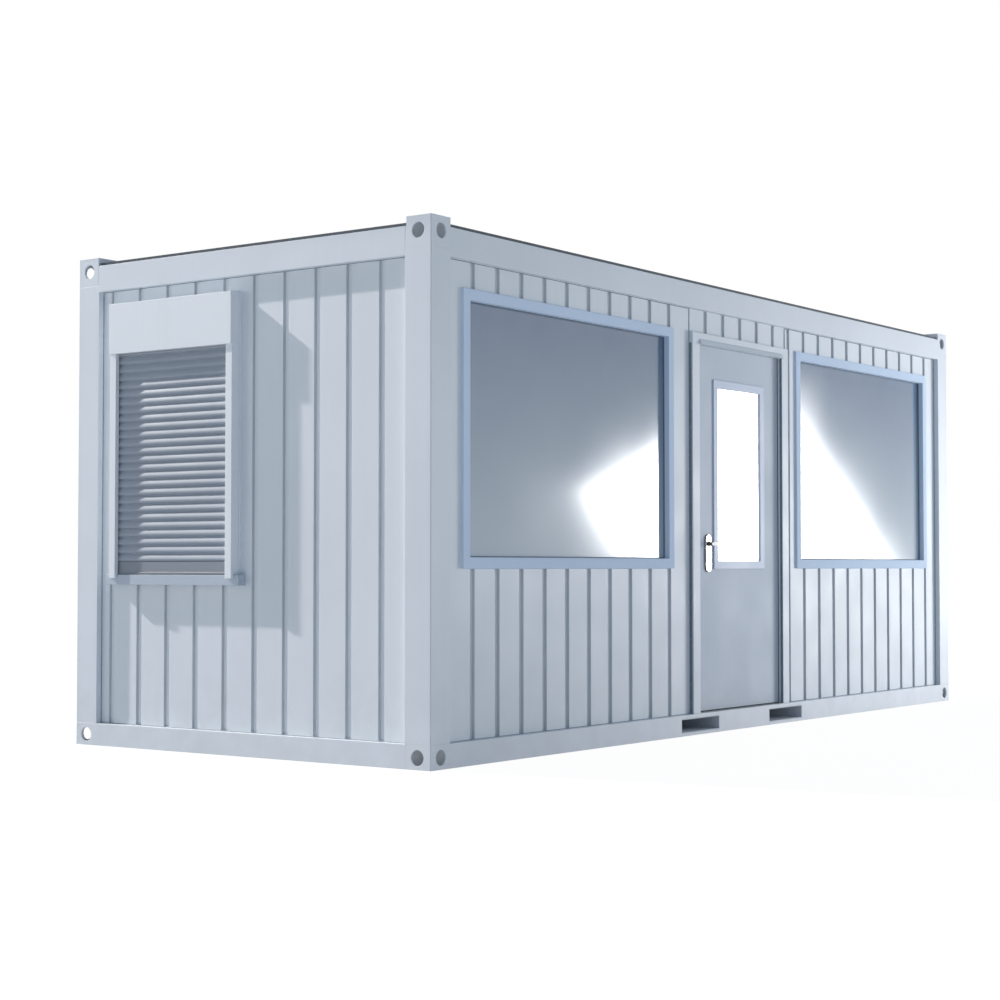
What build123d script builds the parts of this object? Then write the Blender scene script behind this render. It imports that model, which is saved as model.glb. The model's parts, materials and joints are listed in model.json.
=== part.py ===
"""Office container: a steel-framed cabin on the plan of a twenty-foot freight container.

Frame of the model: millimetres, +Z up, +X along the length, the door side faces -Y and the
gable with the shuttered window faces -X. The origin lies on the ground under the middle.
"""
from build123d import *
import os

os.makedirs("parts", exist_ok=True)

# Overall size, over the corner castings.
LENGTH = 6058.0
WIDTH = 2438.0
HEIGHT = 2635.0

# Clearances.
SEAT_GAP = 0.3
SWING_GAP = 7.0
STOP_GAP = 5.0
PIN_GAP = 0.3

# Corner castings: hollow blocks with one round hole in each outward face.
CASTING_SIDE = 151.0
CASTING_TOP_HEIGHT = 153.0
CASTING_BOTTOM_HEIGHT = 118.0
CASTING_WALL = 12.0
CASTING_HOLE_RADIUS = 37.5
CASTING_HOLE_INSET = 79.0
CASTING_TOP_HOLE_DROP = 71.0
CASTING_BOTTOM_HOLE_RISE = 57.0
CASTING_EDGE_ROUND = 4.0

# Corner posts: closed square tubes between the castings.
POST_ON_LONG_SIDE = 151.0
POST_ON_GABLE = 157.0
POST_WALL = 5.0

# Rails: channels with the web outside and the flanges turned inwards.
RAIL_DEPTH = 151.0
RAIL_WALL = 4.0
TOP_RAIL_HEIGHT = 142.0
TOP_RAIL_DROP = 45.0

# Pockets for a fork lift, through the whole width.
POCKET_WIDTH = 422.0
POCKET_HEIGHT = 72.0
POCKET_BOTTOM = 21.0
POCKET_SPACING = 1038.0
POCKET_MID_X = 7.0
SLEEVE_WALL = 4.0

# Floor.
BEAM_FLANGE = 50.0
BEAM_WALL = 3.0
BEAM_COUNT = 9
BEAM_PITCH = 636.0
DECK_THICKNESS = 21.0

# Roof.
CEILING_THICKNESS = 12.0
CEILING_BEARING = 90.0
ROOF_INSET = 12.0
ROOF_EDGE_HEIGHT = 17.0
ROOF_EDGE_WIDTH = 30.0
ROOF_SHEET_THICKNESS = 6.0
ROOF_SEAM_PITCH = 560.0
ROOF_SEAM_COUNT = 9
ROOF_SEAM_WIDTH = 16.0
ROOF_SEAM_HEIGHT = 9.0

# Wall panels, with narrow upright grooves pressed into the outer sheet.
WALL_RECESS = 35.0
WALL_THICKNESS = 100.0
GROOVE_MOUTH = 38.0
GROOVE_BOTTOM = 26.0
GROOVE_DEPTH = 12.0
GROOVE_MARGIN = 1.0
LONG_GROOVE_PITCH = 206.2
LONG_GROOVE_FIRST = 223.0
GABLE_GROOVE_PITCH = 208.2
GABLE_GROOVE_FIRST = 171.0

# The two large windows of the long side. Both fill the bay between post and door frame.
WINDOW_HEIGHT = 1365.0
WINDOW_TOP_GAP = 132.0
WINDOW_POST_GAP = 134.0
WINDOW_DOOR_GAP_LEFT = 189.0
WINDOW_DOOR_GAP_RIGHT = 138.0
WINDOW_FLANGE = 55.0
WINDOW_LAP = 25.0
WINDOW_PROUD = 13.0
WINDOW_REVEAL = 36.0
WINDOW_TRIM_DEPTH = 31.0
GLASS_THICKNESS = 24.0
GLASS_BITE = 14.0
SEAL_THICKNESS = 6.0

# Door set: steel frame, leaf that opens inwards, glazed light, lever handle.
DOOR_MID_X = 11.0
DOOR_CLEAR_WIDTH = 1012.0
DOOR_TOP_GAP = 134.0
DOOR_HEAD_FACE = 64.0
DOOR_JAMB_FACE = 78.0
DOOR_FRAME_PROUD = 25.0
DOOR_STOP_DEPTH = 30.0
DOOR_STOP_LAP = 14.0
LEAF_THICKNESS = 45.0
LEAF_FLOOR_GAP = 8.0
THRESHOLD_HEIGHT = 3.0
DRIP_HEIGHT = 28.0
DRIP_DEPTH = 18.0
LIGHT_WIDTH = 613.0
LIGHT_HEIGHT = 1112.0
LIGHT_TOP_GAP = 198.0
LIGHT_MID_X = 22.5
LIGHT_FLANGE = 48.0
LIGHT_LAP = 18.0
LIGHT_PROUD = 8.0
LIGHT_REVEAL = 9.0
LIGHT_GLASS = 20.0
LIGHT_GLASS_BITE = 10.0

# Hinges of the door.
HINGE_COUNT = 3
HINGE_LOWEST = 330.0
HINGE_TOP_GAP = 307.0
KNUCKLE_RADIUS = 8.0
KNUCKLE_LENGTH = 48.0
KNUCKLE_GAP = 1.0
KNUCKLE_LIFT = 1.0
HINGE_PIN_RADIUS = 4.5
HINGE_PIN_LENGTH = 40.0
HINGE_PLATE = 3.0
HINGE_PLATE_WIDTH = 38.0
HINGE_INSET = 5.0

# Lever handles.
HANDLE_X = -352.0
HANDLE_Z = 1093.0
PLATE_WIDTH = 62.0
PLATE_BOTTOM = 930.0
PLATE_TOP = 1148.0
PLATE_THICKNESS = 11.0
PLATE_ROUND = 4.0
SPINDLE_RADIUS = 5.0
SPINDLE_HOLE = 8.0
NECK_RADIUS = 10.0
LEVER_REACH = 128.0
LEVER_STAND_OFF = 56.0
LEVER_THICKNESS = 16.0
LEVER_HEIGHT = 26.0
LEVER_ROUND = 6.0

# Lock cylinder: a round plug with a narrower web under it, through leaf and plates.
CYLINDER_DROP = 72.0
CYLINDER_RADIUS = 8.5
CYLINDER_WEB = 10.0
CYLINDER_HEIGHT = 33.0
CYLINDER_PROUD = 3.0

# Shuttered window in the gable.
SHUTTER_WIDTH = 895.0
SHUTTER_POST_GAP = 124.0
SHUTTER_PROUD = 76.0
BASE_THICKNESS = 14.0
BASE_LAP = 4.0
BOX_HEIGHT = 269.0
BOX_TOP_GAP = 82.0
BOX_WALL = 2.0
CURTAIN_ENTRY = 30.0
GUIDE_WIDTH = 44.0
GUIDE_SET_BACK = 10.0
GUIDE_SILL_LAP = 18.0
GUIDE_SLOT_DEPTH = 26.0
GUIDE_SLOT_BACK = 14.0
GUIDE_SLOT_WIDTH = 14.0
SILL_BOTTOM = 864.0
SILL_TOP = 918.0
SILL_PAST_GUIDES = 38.0
SILL_PROUD = 50.0
SLAT_PITCH = 44.0
SLAT_THICKNESS = 9.0
SLAT_CROWN = 4.0
BOTTOM_BAR_HEIGHT = 70.0
GABLE_WINDOW_FLANGE = 60.0

# Places that follow from the sizes above.
HALF_LENGTH = LENGTH / 2
HALF_WIDTH = WIDTH / 2
FLOOR_TOP = CASTING_BOTTOM_HEIGHT
RAIL_TOP = HEIGHT - TOP_RAIL_DROP
TOP_RAIL_BOTTOM = RAIL_TOP - TOP_RAIL_HEIGHT
PANEL_FRONT = -HALF_WIDTH + WALL_RECESS
PANEL_BACK = PANEL_FRONT + WALL_THICKNESS
GABLE_FACE = -HALF_LENGTH + WALL_RECESS
WALL_END_X = HALF_LENGTH - POST_ON_LONG_SIDE
WALL_END_Y = HALF_WIDTH - POST_ON_GABLE
DOOR_WIDTH = DOOR_CLEAR_WIDTH + 2 * DOOR_JAMB_FACE
DOOR_LEFT = DOOR_MID_X - DOOR_WIDTH / 2
DOOR_RIGHT = DOOR_MID_X + DOOR_WIDTH / 2
DOOR_FRAME_TOP = TOP_RAIL_BOTTOM - DOOR_TOP_GAP
DOOR_CLEAR_TOP = DOOR_FRAME_TOP - DOOR_HEAD_FACE
DOOR_FACE = PANEL_FRONT - DOOR_FRAME_PROUD
STOP_BACK = DOOR_FACE + DOOR_STOP_DEPTH
LEAF_FACE = STOP_BACK + STOP_GAP
LEAF_BACK = LEAF_FACE + LEAF_THICKNESS
LEAF_WIDTH = DOOR_CLEAR_WIDTH + 2 * (DOOR_STOP_LAP - SWING_GAP)
LEAF_BOTTOM = FLOOR_TOP + LEAF_FLOOR_GAP
LEAF_TOP = DOOR_CLEAR_TOP + DOOR_STOP_LAP - SWING_GAP
LEAF_RIGHT = DOOR_MID_X + LEAF_WIDTH / 2
HINGE_X = LEAF_RIGHT - HINGE_INSET
HINGE_Y = LEAF_BACK + KNUCKLE_LIFT + KNUCKLE_RADIUS
HINGE_PITCH = (LEAF_TOP - HINGE_TOP_GAP - HINGE_LOWEST) / (HINGE_COUNT - 1)
WINDOW_TOP = TOP_RAIL_BOTTOM - WINDOW_TOP_GAP
WINDOW_BOTTOM = WINDOW_TOP - WINDOW_HEIGHT
WINDOW_LEFT_EDGE = -WALL_END_X + WINDOW_POST_GAP
WINDOW_WIDTH = DOOR_LEFT - WINDOW_DOOR_GAP_LEFT - WINDOW_LEFT_EDGE
WINDOW_LEFT_X = WINDOW_LEFT_EDGE + WINDOW_WIDTH / 2
WINDOW_RIGHT_X = DOOR_RIGHT + WINDOW_DOOR_GAP_RIGHT + WINDOW_WIDTH / 2
SHUTTER_HIGH = WALL_END_Y - SHUTTER_POST_GAP
SHUTTER_LOW = SHUTTER_HIGH - SHUTTER_WIDTH
BOX_TOP = TOP_RAIL_BOTTOM - BOX_TOP_GAP
BOX_BOTTOM = BOX_TOP - BOX_HEIGHT


def block(x_span, y_span, z_span, mode=Mode.ADD):
    """A box from its low and high coordinates along X, Y and Z."""
    spans = (x_span, y_span, z_span)
    middle = [(low + high) / 2 for low, high in spans]
    with Locations(tuple(middle)):
        Box(*[high - low for low, high in spans], mode=mode)


def frame_ring(x_span, z_span, border, y_span, mode=Mode.ADD):
    """A rectangular ring that stands in the XZ plane, with equal borders."""
    width = x_span[1] - x_span[0]
    height = z_span[1] - z_span[0]
    middle = ((x_span[0] + x_span[1]) / 2, -(z_span[0] + z_span[1]) / 2)
    depth = y_span[1] - y_span[0]
    place = Plane(origin=(0, y_span[0], 0), x_dir=(1, 0, 0), z_dir=(0, 1, 0))
    with BuildSketch(place) as ring:
        with Locations(middle):
            Rectangle(width, height)
            Rectangle(width - 2 * border, height - 2 * border, mode=Mode.SUBTRACT)
    extrude(ring.sketch, amount=depth, mode=mode)


def make_casting(side_x, side_y, at_top):
    """One corner casting: a hollow block with a round hole in each outward face."""
    height = CASTING_TOP_HEIGHT if at_top else CASTING_BOTTOM_HEIGHT
    base = HEIGHT - height if at_top else 0.0
    corner_x = side_x * HALF_LENGTH
    corner_y = side_y * HALF_WIDTH
    middle_x = corner_x - side_x * CASTING_SIDE / 2
    middle_y = corner_y - side_y * CASTING_SIDE / 2
    hole_x = corner_x - side_x * CASTING_HOLE_INSET
    hole_y = corner_y - side_y * CASTING_HOLE_INSET
    hole_z = HEIGHT - CASTING_TOP_HOLE_DROP if at_top else CASTING_BOTTOM_HOLE_RISE
    cap_z = HEIGHT if at_top else 0.0
    with BuildPart() as casting:
        with BuildSketch(Plane.XY.offset(base)):
            with Locations((middle_x, middle_y)):
                Rectangle(CASTING_SIDE, CASTING_SIDE)
        extrude(amount=height)
        outer = casting.edges().filter_by(Axis.Z)
        outer = outer.sort_by(lambda edge: side_x * edge.center().X + side_y * edge.center().Y)
        fillet(outer[-1], CASTING_EDGE_ROUND)
        with BuildSketch(Plane.XY.offset(base + CASTING_WALL)):
            with Locations((middle_x, middle_y)):
                Rectangle(CASTING_SIDE - 2 * CASTING_WALL, CASTING_SIDE - 2 * CASTING_WALL)
        extrude(amount=height - 2 * CASTING_WALL, mode=Mode.SUBTRACT)
        faces = (
            Plane((hole_x, corner_y, hole_z), x_dir=(1, 0, 0), z_dir=(0, side_y, 0)),
            Plane((corner_x, hole_y, hole_z), x_dir=(0, 1, 0), z_dir=(side_x, 0, 0)),
            Plane((hole_x, hole_y, cap_z), x_dir=(1, 0, 0), z_dir=(0, 0, 1 if at_top else -1)),
        )
        for face in faces:
            with BuildSketch(face):
                Circle(CASTING_HOLE_RADIUS)
            extrude(amount=-CASTING_WALL, mode=Mode.SUBTRACT)
    return casting.part


def make_post(side_x, side_y):
    """One corner post: a closed tube between the bottom and the top casting."""
    with BuildPart() as post:
        with BuildSketch(Plane.XY.offset(CASTING_BOTTOM_HEIGHT)):
            middle_x = side_x * (HALF_LENGTH - POST_ON_LONG_SIDE / 2)
            middle_y = side_y * (HALF_WIDTH - POST_ON_GABLE / 2)
            with Locations((middle_x, middle_y)):
                Rectangle(POST_ON_LONG_SIDE, POST_ON_GABLE)
                Rectangle(
                    POST_ON_LONG_SIDE - 2 * POST_WALL,
                    POST_ON_GABLE - 2 * POST_WALL,
                    mode=Mode.SUBTRACT,
                )
        extrude(amount=HEIGHT - CASTING_TOP_HEIGHT - CASTING_BOTTOM_HEIGHT)
        upright = post.edges().filter_by(Axis.Z)
        upright = upright.sort_by(lambda edge: side_x * edge.center().X + side_y * edge.center().Y)
        fillet(upright[-1], CASTING_EDGE_ROUND)
    return post.part


def make_rail(length, side, along_x, bottom, height):
    """A channel rail whose web is the outer face on the given side."""
    face = side * (HALF_WIDTH if along_x else HALF_LENGTH)
    if along_x:
        section = Plane((-length / 2, face, bottom), x_dir=(0, -side, 0), z_dir=(1, 0, 0))
    else:
        section = Plane((face, -length / 2, bottom), x_dir=(-side, 0, 0), z_dir=(0, 1, 0))
    upwards = 1 if section.y_dir.Z > 0 else -1
    with BuildPart() as rail:
        with BuildSketch(section):
            with BuildLine():
                Polyline(
                    (0, 0),
                    (RAIL_DEPTH, 0),
                    (RAIL_DEPTH, upwards * RAIL_WALL),
                    (RAIL_WALL, upwards * RAIL_WALL),
                    (RAIL_WALL, upwards * (height - RAIL_WALL)),
                    (RAIL_DEPTH, upwards * (height - RAIL_WALL)),
                    (RAIL_DEPTH, upwards * height),
                    (0, upwards * height),
                    close=True,
                )
            make_face()
        extrude(amount=length)
    return rail.part


def groove_centres(first, pitch, low, high):
    """Centres of the grooves that fall wholly between two coordinates."""
    margin = GROOVE_MOUTH / 2 + GROOVE_MARGIN
    count = int((high - first) / pitch) + 1
    centres = [first + pitch * index for index in range(count)]
    return [centre for centre in centres if low + margin < centre < high - margin]


def make_long_wall(x_low, x_high, z_low, z_high, side):
    """A wall panel of a long side, with its grooves, from its ends and heights."""
    outer = side * (HALF_WIDTH - WALL_RECESS)
    inner = outer - side * WALL_THICKNESS
    first = -HALF_LENGTH + POST_ON_LONG_SIDE + LONG_GROOVE_FIRST
    with BuildPart() as wall:
        with BuildSketch(Plane.XY.offset(z_low)):
            with Locations(((x_low + x_high) / 2, (outer + inner) / 2)):
                Rectangle(x_high - x_low, WALL_THICKNESS)
            for centre in groove_centres(first, LONG_GROOVE_PITCH, x_low, x_high):
                with BuildLine():
                    Polyline(
                        (centre - GROOVE_MOUTH / 2, outer),
                        (centre - GROOVE_BOTTOM / 2, outer - side * GROOVE_DEPTH),
                        (centre + GROOVE_BOTTOM / 2, outer - side * GROOVE_DEPTH),
                        (centre + GROOVE_MOUTH / 2, outer),
                        close=True,
                    )
                make_face(mode=Mode.SUBTRACT)
        extrude(amount=z_high - z_low)
    return wall.part


def make_gable_wall(side):
    """The wall panel of a gable, with its grooves."""
    outer = side * (HALF_LENGTH - WALL_RECESS)
    inner = outer - side * WALL_THICKNESS
    first = -HALF_WIDTH + POST_ON_GABLE + GABLE_GROOVE_FIRST
    with BuildPart() as wall:
        with BuildSketch(Plane.XY.offset(FLOOR_TOP)):
            with Locations(((outer + inner) / 2, 0)):
                Rectangle(WALL_THICKNESS, 2 * WALL_END_Y)
            for centre in groove_centres(first, GABLE_GROOVE_PITCH, -WALL_END_Y, WALL_END_Y):
                with BuildLine():
                    Polyline(
                        (outer, centre - GROOVE_MOUTH / 2),
                        (outer - side * GROOVE_DEPTH, centre - GROOVE_BOTTOM / 2),
                        (outer - side * GROOVE_DEPTH, centre + GROOVE_BOTTOM / 2),
                        (outer, centre + GROOVE_MOUTH / 2),
                        close=True,
                    )
                make_face(mode=Mode.SUBTRACT)
        extrude(amount=TOP_RAIL_BOTTOM - FLOOR_TOP)
    return wall.part


def save(part, name):
    """Label a finished piece and write its file."""
    part.label = name
    export_step(part, f"parts/{name}.step")


def save_set(pieces, name):
    """Write like pieces that stand apart as one node."""
    with BuildPart() as group:
        for piece in pieces:
            add(piece)
    save(group.part, name)


# Corner castings and posts.
CORNERS = [(side_x, side_y) for side_x in (-1, 1) for side_y in (-1, 1)]
save_set([make_casting(*corner, at_top=False) for corner in CORNERS], "bottom_castings")
save_set([make_casting(*corner, at_top=True) for corner in CORNERS], "top_castings")
save_set([make_post(*corner) for corner in CORNERS], "corner_posts")

# Bottom rails. The long ones are cut for the fork pockets.
LONG_RAIL = 2 * (HALF_LENGTH - CASTING_SIDE)
GABLE_RAIL = 2 * (HALF_WIDTH - CASTING_SIDE)
SLEEVE_WIDTH = POCKET_WIDTH + 2 * SLEEVE_WALL
SLEEVE_HEIGHT = POCKET_HEIGHT + 2 * SLEEVE_WALL
SLEEVE_BOTTOM = POCKET_BOTTOM - SLEEVE_WALL
POCKET_CENTRES = [POCKET_MID_X + side * POCKET_SPACING / 2 for side in (-1, 1)]
for name, side in {"front": -1, "rear": 1}.items():
    with BuildPart() as bottom_rail:
        add(make_rail(LONG_RAIL, side, True, 0.0, CASTING_BOTTOM_HEIGHT))
        for centre in POCKET_CENTRES:
            half = SLEEVE_WIDTH / 2 + SEAT_GAP
            block(
                (centre - half, centre + half),
                sorted((side * HALF_WIDTH, side * (HALF_WIDTH - RAIL_WALL))),
                (SLEEVE_BOTTOM - SEAT_GAP, SLEEVE_BOTTOM + SLEEVE_HEIGHT + SEAT_GAP),
                mode=Mode.SUBTRACT,
            )
    save(bottom_rail.part, f"bottom_rail_{name}")
for name, side in {"left": -1, "right": 1}.items():
    save(make_rail(GABLE_RAIL, side, False, 0.0, CASTING_BOTTOM_HEIGHT), f"bottom_rail_{name}")

# Top rails. On the gables they stop at the wider posts.
for name, side in {"front": -1, "rear": 1}.items():
    save(make_rail(LONG_RAIL, side, True, TOP_RAIL_BOTTOM, TOP_RAIL_HEIGHT), f"top_rail_{name}")
for name, side in {"left": -1, "right": 1}.items():
    rail = make_rail(2 * WALL_END_Y, side, False, TOP_RAIL_BOTTOM, TOP_RAIL_HEIGHT)
    save(rail, f"top_rail_{name}")

# Fork sleeves, flush with the rails outside.
sleeve_end = Plane(
    (POCKET_MID_X, HALF_WIDTH, SLEEVE_BOTTOM + SLEEVE_HEIGHT / 2),
    x_dir=(1, 0, 0),
    z_dir=(0, -1, 0),
)
with BuildPart() as fork_sleeves:
    with BuildSketch(sleeve_end):
        with GridLocations(POCKET_SPACING, 0, 2, 1):
            Rectangle(SLEEVE_WIDTH, SLEEVE_HEIGHT)
            Rectangle(POCKET_WIDTH, POCKET_HEIGHT, mode=Mode.SUBTRACT)
    extrude(amount=WIDTH)
save(fork_sleeves.part, "fork_sleeves")

# Floor beams stand on the lower flanges of the long rails, and carry the deck.
DECK_BOTTOM = FLOOR_TOP - DECK_THICKNESS
beam_span = HALF_WIDTH - RAIL_WALL
beam_centres = [BEAM_PITCH * (index - (BEAM_COUNT - 1) / 2) for index in range(BEAM_COUNT)]
clear_of_sleeve = SLEEVE_WIDTH / 2 + BEAM_FLANGE
with BuildPart() as floor_beams:
    for centre in beam_centres:
        if min(abs(centre - pocket) for pocket in POCKET_CENTRES) < clear_of_sleeve:
            continue
        with BuildSketch(Plane((centre, -beam_span, RAIL_WALL), x_dir=(1, 0, 0), z_dir=(0, -1, 0))):
            with BuildLine():
                Polyline(
                    (0, 0),
                    (BEAM_FLANGE, 0),
                    (BEAM_FLANGE, BEAM_WALL),
                    (BEAM_WALL, BEAM_WALL),
                    (BEAM_WALL, DECK_BOTTOM - RAIL_WALL - BEAM_WALL),
                    (BEAM_FLANGE, DECK_BOTTOM - RAIL_WALL - BEAM_WALL),
                    (BEAM_FLANGE, DECK_BOTTOM - RAIL_WALL),
                    (0, DECK_BOTTOM - RAIL_WALL),
                    close=True,
                )
            make_face()
        extrude(amount=-2 * beam_span)
save(floor_beams.part, "floor_beams")

with BuildPart() as floor_deck:
    deck_x = HALF_LENGTH - RAIL_DEPTH - SEAT_GAP
    deck_y = HALF_WIDTH - RAIL_DEPTH - SEAT_GAP
    block((-deck_x, deck_x), (-deck_y, deck_y), (DECK_BOTTOM, FLOOR_TOP))
save(floor_deck.part, "floor_deck")

# Ceiling lies on the lower flanges of the long top rails.
with BuildPart() as ceiling:
    ceiling_x = WALL_END_X - SEAT_GAP
    ceiling_y = HALF_WIDTH - RAIL_DEPTH + CEILING_BEARING
    ceiling_bottom = TOP_RAIL_BOTTOM + RAIL_WALL
    block(
        (-ceiling_x, ceiling_x),
        (-ceiling_y, ceiling_y),
        (ceiling_bottom, ceiling_bottom + CEILING_THICKNESS),
    )
save(ceiling.part, "ceiling")

# Roof: a dark sealing edge round the rails, and a sheet with standing seams inside it.
roof_x = HALF_LENGTH - ROOF_INSET
roof_y = HALF_WIDTH - ROOF_INSET
notch = CASTING_SIDE - ROOF_INSET + SEAT_GAP


def roof_outline(inset):
    """Plan of the roof inside a margin, notched round the corner castings."""
    Rectangle(2 * (roof_x - inset), 2 * (roof_y - inset))
    size = 2 * (notch + inset)
    with GridLocations(2 * roof_x, 2 * roof_y, 2, 2):
        Rectangle(size, size, mode=Mode.SUBTRACT)


with BuildPart() as roof_edge:
    with BuildSketch(Plane.XY.offset(RAIL_TOP)):
        roof_outline(0)
    extrude(amount=ROOF_EDGE_HEIGHT)
    with BuildSketch(Plane.XY.offset(RAIL_TOP)):
        roof_outline(ROOF_EDGE_WIDTH)
    extrude(amount=ROOF_EDGE_HEIGHT, mode=Mode.SUBTRACT)
save(roof_edge.part, "roof_edge")

with BuildPart() as roof_sheet:
    with BuildSketch(Plane.XY.offset(RAIL_TOP)):
        roof_outline(ROOF_EDGE_WIDTH + SEAT_GAP)
    extrude(amount=ROOF_SHEET_THICKNESS)
    seam_length = 2 * (roof_y - ROOF_EDGE_WIDTH - SEAT_GAP)
    with BuildSketch(Plane.XY.offset(RAIL_TOP + ROOF_SHEET_THICKNESS)):
        with GridLocations(ROOF_SEAM_PITCH, 0, ROOF_SEAM_COUNT, 1):
            Rectangle(ROOF_SEAM_WIDTH, seam_length)
    extrude(amount=ROOF_SEAM_HEIGHT)
save(roof_sheet.part, "roof_sheet")

# Long walls. The front one is split at the door frame.
WINDOW_CENTRES = {"left": WINDOW_LEFT_X, "right": WINDOW_RIGHT_X}
WALL_SPANS = {"left": (-WALL_END_X, DOOR_LEFT), "right": (DOOR_RIGHT, WALL_END_X)}
for name, centre in WINDOW_CENTRES.items():
    with BuildPart() as front_wall:
        add(make_long_wall(*WALL_SPANS[name], FLOOR_TOP, TOP_RAIL_BOTTOM, -1))
        half = WINDOW_WIDTH / 2 - WINDOW_LAP
        block(
            (centre - half, centre + half),
            (PANEL_FRONT, PANEL_BACK),
            (WINDOW_BOTTOM + WINDOW_LAP, WINDOW_TOP - WINDOW_LAP),
            mode=Mode.SUBTRACT,
        )
    save(front_wall.part, f"front_wall_{name}")
over_door = make_long_wall(DOOR_LEFT, DOOR_RIGHT, DOOR_FRAME_TOP, TOP_RAIL_BOTTOM, -1)
save(over_door, "front_wall_over_door")
save(make_long_wall(-WALL_END_X, WALL_END_X, FLOOR_TOP, TOP_RAIL_BOTTOM, 1), "rear_wall")

# Front windows: flanged frame, dark seal in the reveal, sealed glass unit.
seals = []
panes = []
for name, centre in WINDOW_CENTRES.items():
    x_span = (centre - WINDOW_WIDTH / 2, centre + WINDOW_WIDTH / 2)
    z_span = (WINDOW_BOTTOM, WINDOW_TOP)
    face = PANEL_FRONT - WINDOW_PROUD
    glass_face = face + WINDOW_REVEAL
    glass_x = WINDOW_WIDTH / 2 - WINDOW_FLANGE + GLASS_BITE
    glass_low = z_span[0] + WINDOW_FLANGE - GLASS_BITE
    glass_high = z_span[1] - WINDOW_FLANGE + GLASS_BITE
    lap = WINDOW_LAP + SEAT_GAP
    with BuildPart() as window_frame:
        frame_ring(x_span, z_span, WINDOW_FLANGE, (face, PANEL_FRONT))
        frame_ring(
            (x_span[0] + lap, x_span[1] - lap),
            (z_span[0] + lap, z_span[1] - lap),
            WINDOW_FLANGE - lap,
            (PANEL_FRONT, PANEL_BACK),
        )
        block(
            (centre - glass_x, centre + glass_x),
            (glass_face, glass_face + GLASS_THICKNESS),
            (glass_low, glass_high),
            mode=Mode.SUBTRACT,
        )
    save(window_frame.part, f"window_frame_{name}")
    with BuildPart() as window_seal:
        frame_ring(
            (x_span[0] + WINDOW_FLANGE, x_span[1] - WINDOW_FLANGE),
            (z_span[0] + WINDOW_FLANGE, z_span[1] - WINDOW_FLANGE),
            SEAL_THICKNESS,
            (face + WINDOW_TRIM_DEPTH, glass_face),
        )
    seals.append(window_seal.part)
    with BuildPart() as window_glass:
        block(
            (centre - glass_x + SEAT_GAP, centre + glass_x - SEAT_GAP),
            (glass_face, glass_face + GLASS_THICKNESS),
            (glass_low + SEAT_GAP, glass_high - SEAT_GAP),
        )
    panes.append(window_glass.part)
save_set(seals, "window_seals")
save_set(panes, "window_glass")

# Gables. The left one is cut for the window behind the shutter.
gable_cut_y = (SHUTTER_LOW + GUIDE_WIDTH, SHUTTER_HIGH - GUIDE_WIDTH)
gable_cut_z = (SILL_TOP, BOX_BOTTOM)
with BuildPart() as gable_wall_left:
    add(make_gable_wall(-1))
    block(
        (GABLE_FACE, GABLE_FACE + WALL_THICKNESS),
        gable_cut_y,
        gable_cut_z,
        mode=Mode.SUBTRACT,
    )
save(gable_wall_left.part, "gable_wall_left")
save(make_gable_wall(1), "gable_wall_right")


def gable_ring(y_span, z_span, border, x_span, mode=Mode.ADD):
    """A rectangular ring that stands in the YZ plane, with equal borders."""
    width = y_span[1] - y_span[0]
    height = z_span[1] - z_span[0]
    middle = ((y_span[0] + y_span[1]) / 2, (z_span[0] + z_span[1]) / 2)
    place = Plane(origin=(x_span[0], 0, 0), x_dir=(0, 1, 0), z_dir=(1, 0, 0))
    with BuildSketch(place) as ring:
        with Locations(middle):
            Rectangle(width, height)
            Rectangle(width - 2 * border, height - 2 * border, mode=Mode.SUBTRACT)
    extrude(ring.sketch, amount=x_span[1] - x_span[0], mode=mode)


gable_glass_x = GABLE_FACE + WALL_THICKNESS / 2
inner = GABLE_WINDOW_FLANGE - GLASS_BITE
with BuildPart() as gable_window_frame:
    gable_ring(
        (gable_cut_y[0] + SEAT_GAP, gable_cut_y[1] - SEAT_GAP),
        (gable_cut_z[0] + SEAT_GAP, gable_cut_z[1] - SEAT_GAP),
        GABLE_WINDOW_FLANGE,
        (GABLE_FACE + SLAT_THICKNESS, GABLE_FACE + WALL_THICKNESS),
    )
    block(
        (gable_glass_x, gable_glass_x + GLASS_THICKNESS),
        (gable_cut_y[0] + inner, gable_cut_y[1] - inner),
        (gable_cut_z[0] + inner, gable_cut_z[1] - inner),
        mode=Mode.SUBTRACT,
    )
save(gable_window_frame.part, "gable_window_frame")
with BuildPart() as gable_window_glass:
    block(
        (gable_glass_x, gable_glass_x + GLASS_THICKNESS),
        (gable_cut_y[0] + inner + SEAT_GAP, gable_cut_y[1] - inner - SEAT_GAP),
        (gable_cut_z[0] + inner + SEAT_GAP, gable_cut_z[1] - inner - SEAT_GAP),
    )
save(gable_window_glass.part, "gable_window_glass")

# Roller shutter on a base frame: folded box open at the back, guides, closed curtain, sill.
shutter_face = GABLE_FACE - SHUTTER_PROUD
guide_face = shutter_face + GUIDE_SET_BACK
sill_face = GABLE_FACE - SILL_PROUD
base_face = GABLE_FACE - BASE_THICKNESS
with BuildPart() as shutter_base:
    block(
        (base_face, GABLE_FACE),
        (SHUTTER_LOW - BASE_LAP, SHUTTER_HIGH + BASE_LAP),
        (SILL_TOP, BOX_TOP),
    )
    block((base_face, GABLE_FACE), gable_cut_y, gable_cut_z, mode=Mode.SUBTRACT)
save(shutter_base.part, "shutter_base")

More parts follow.
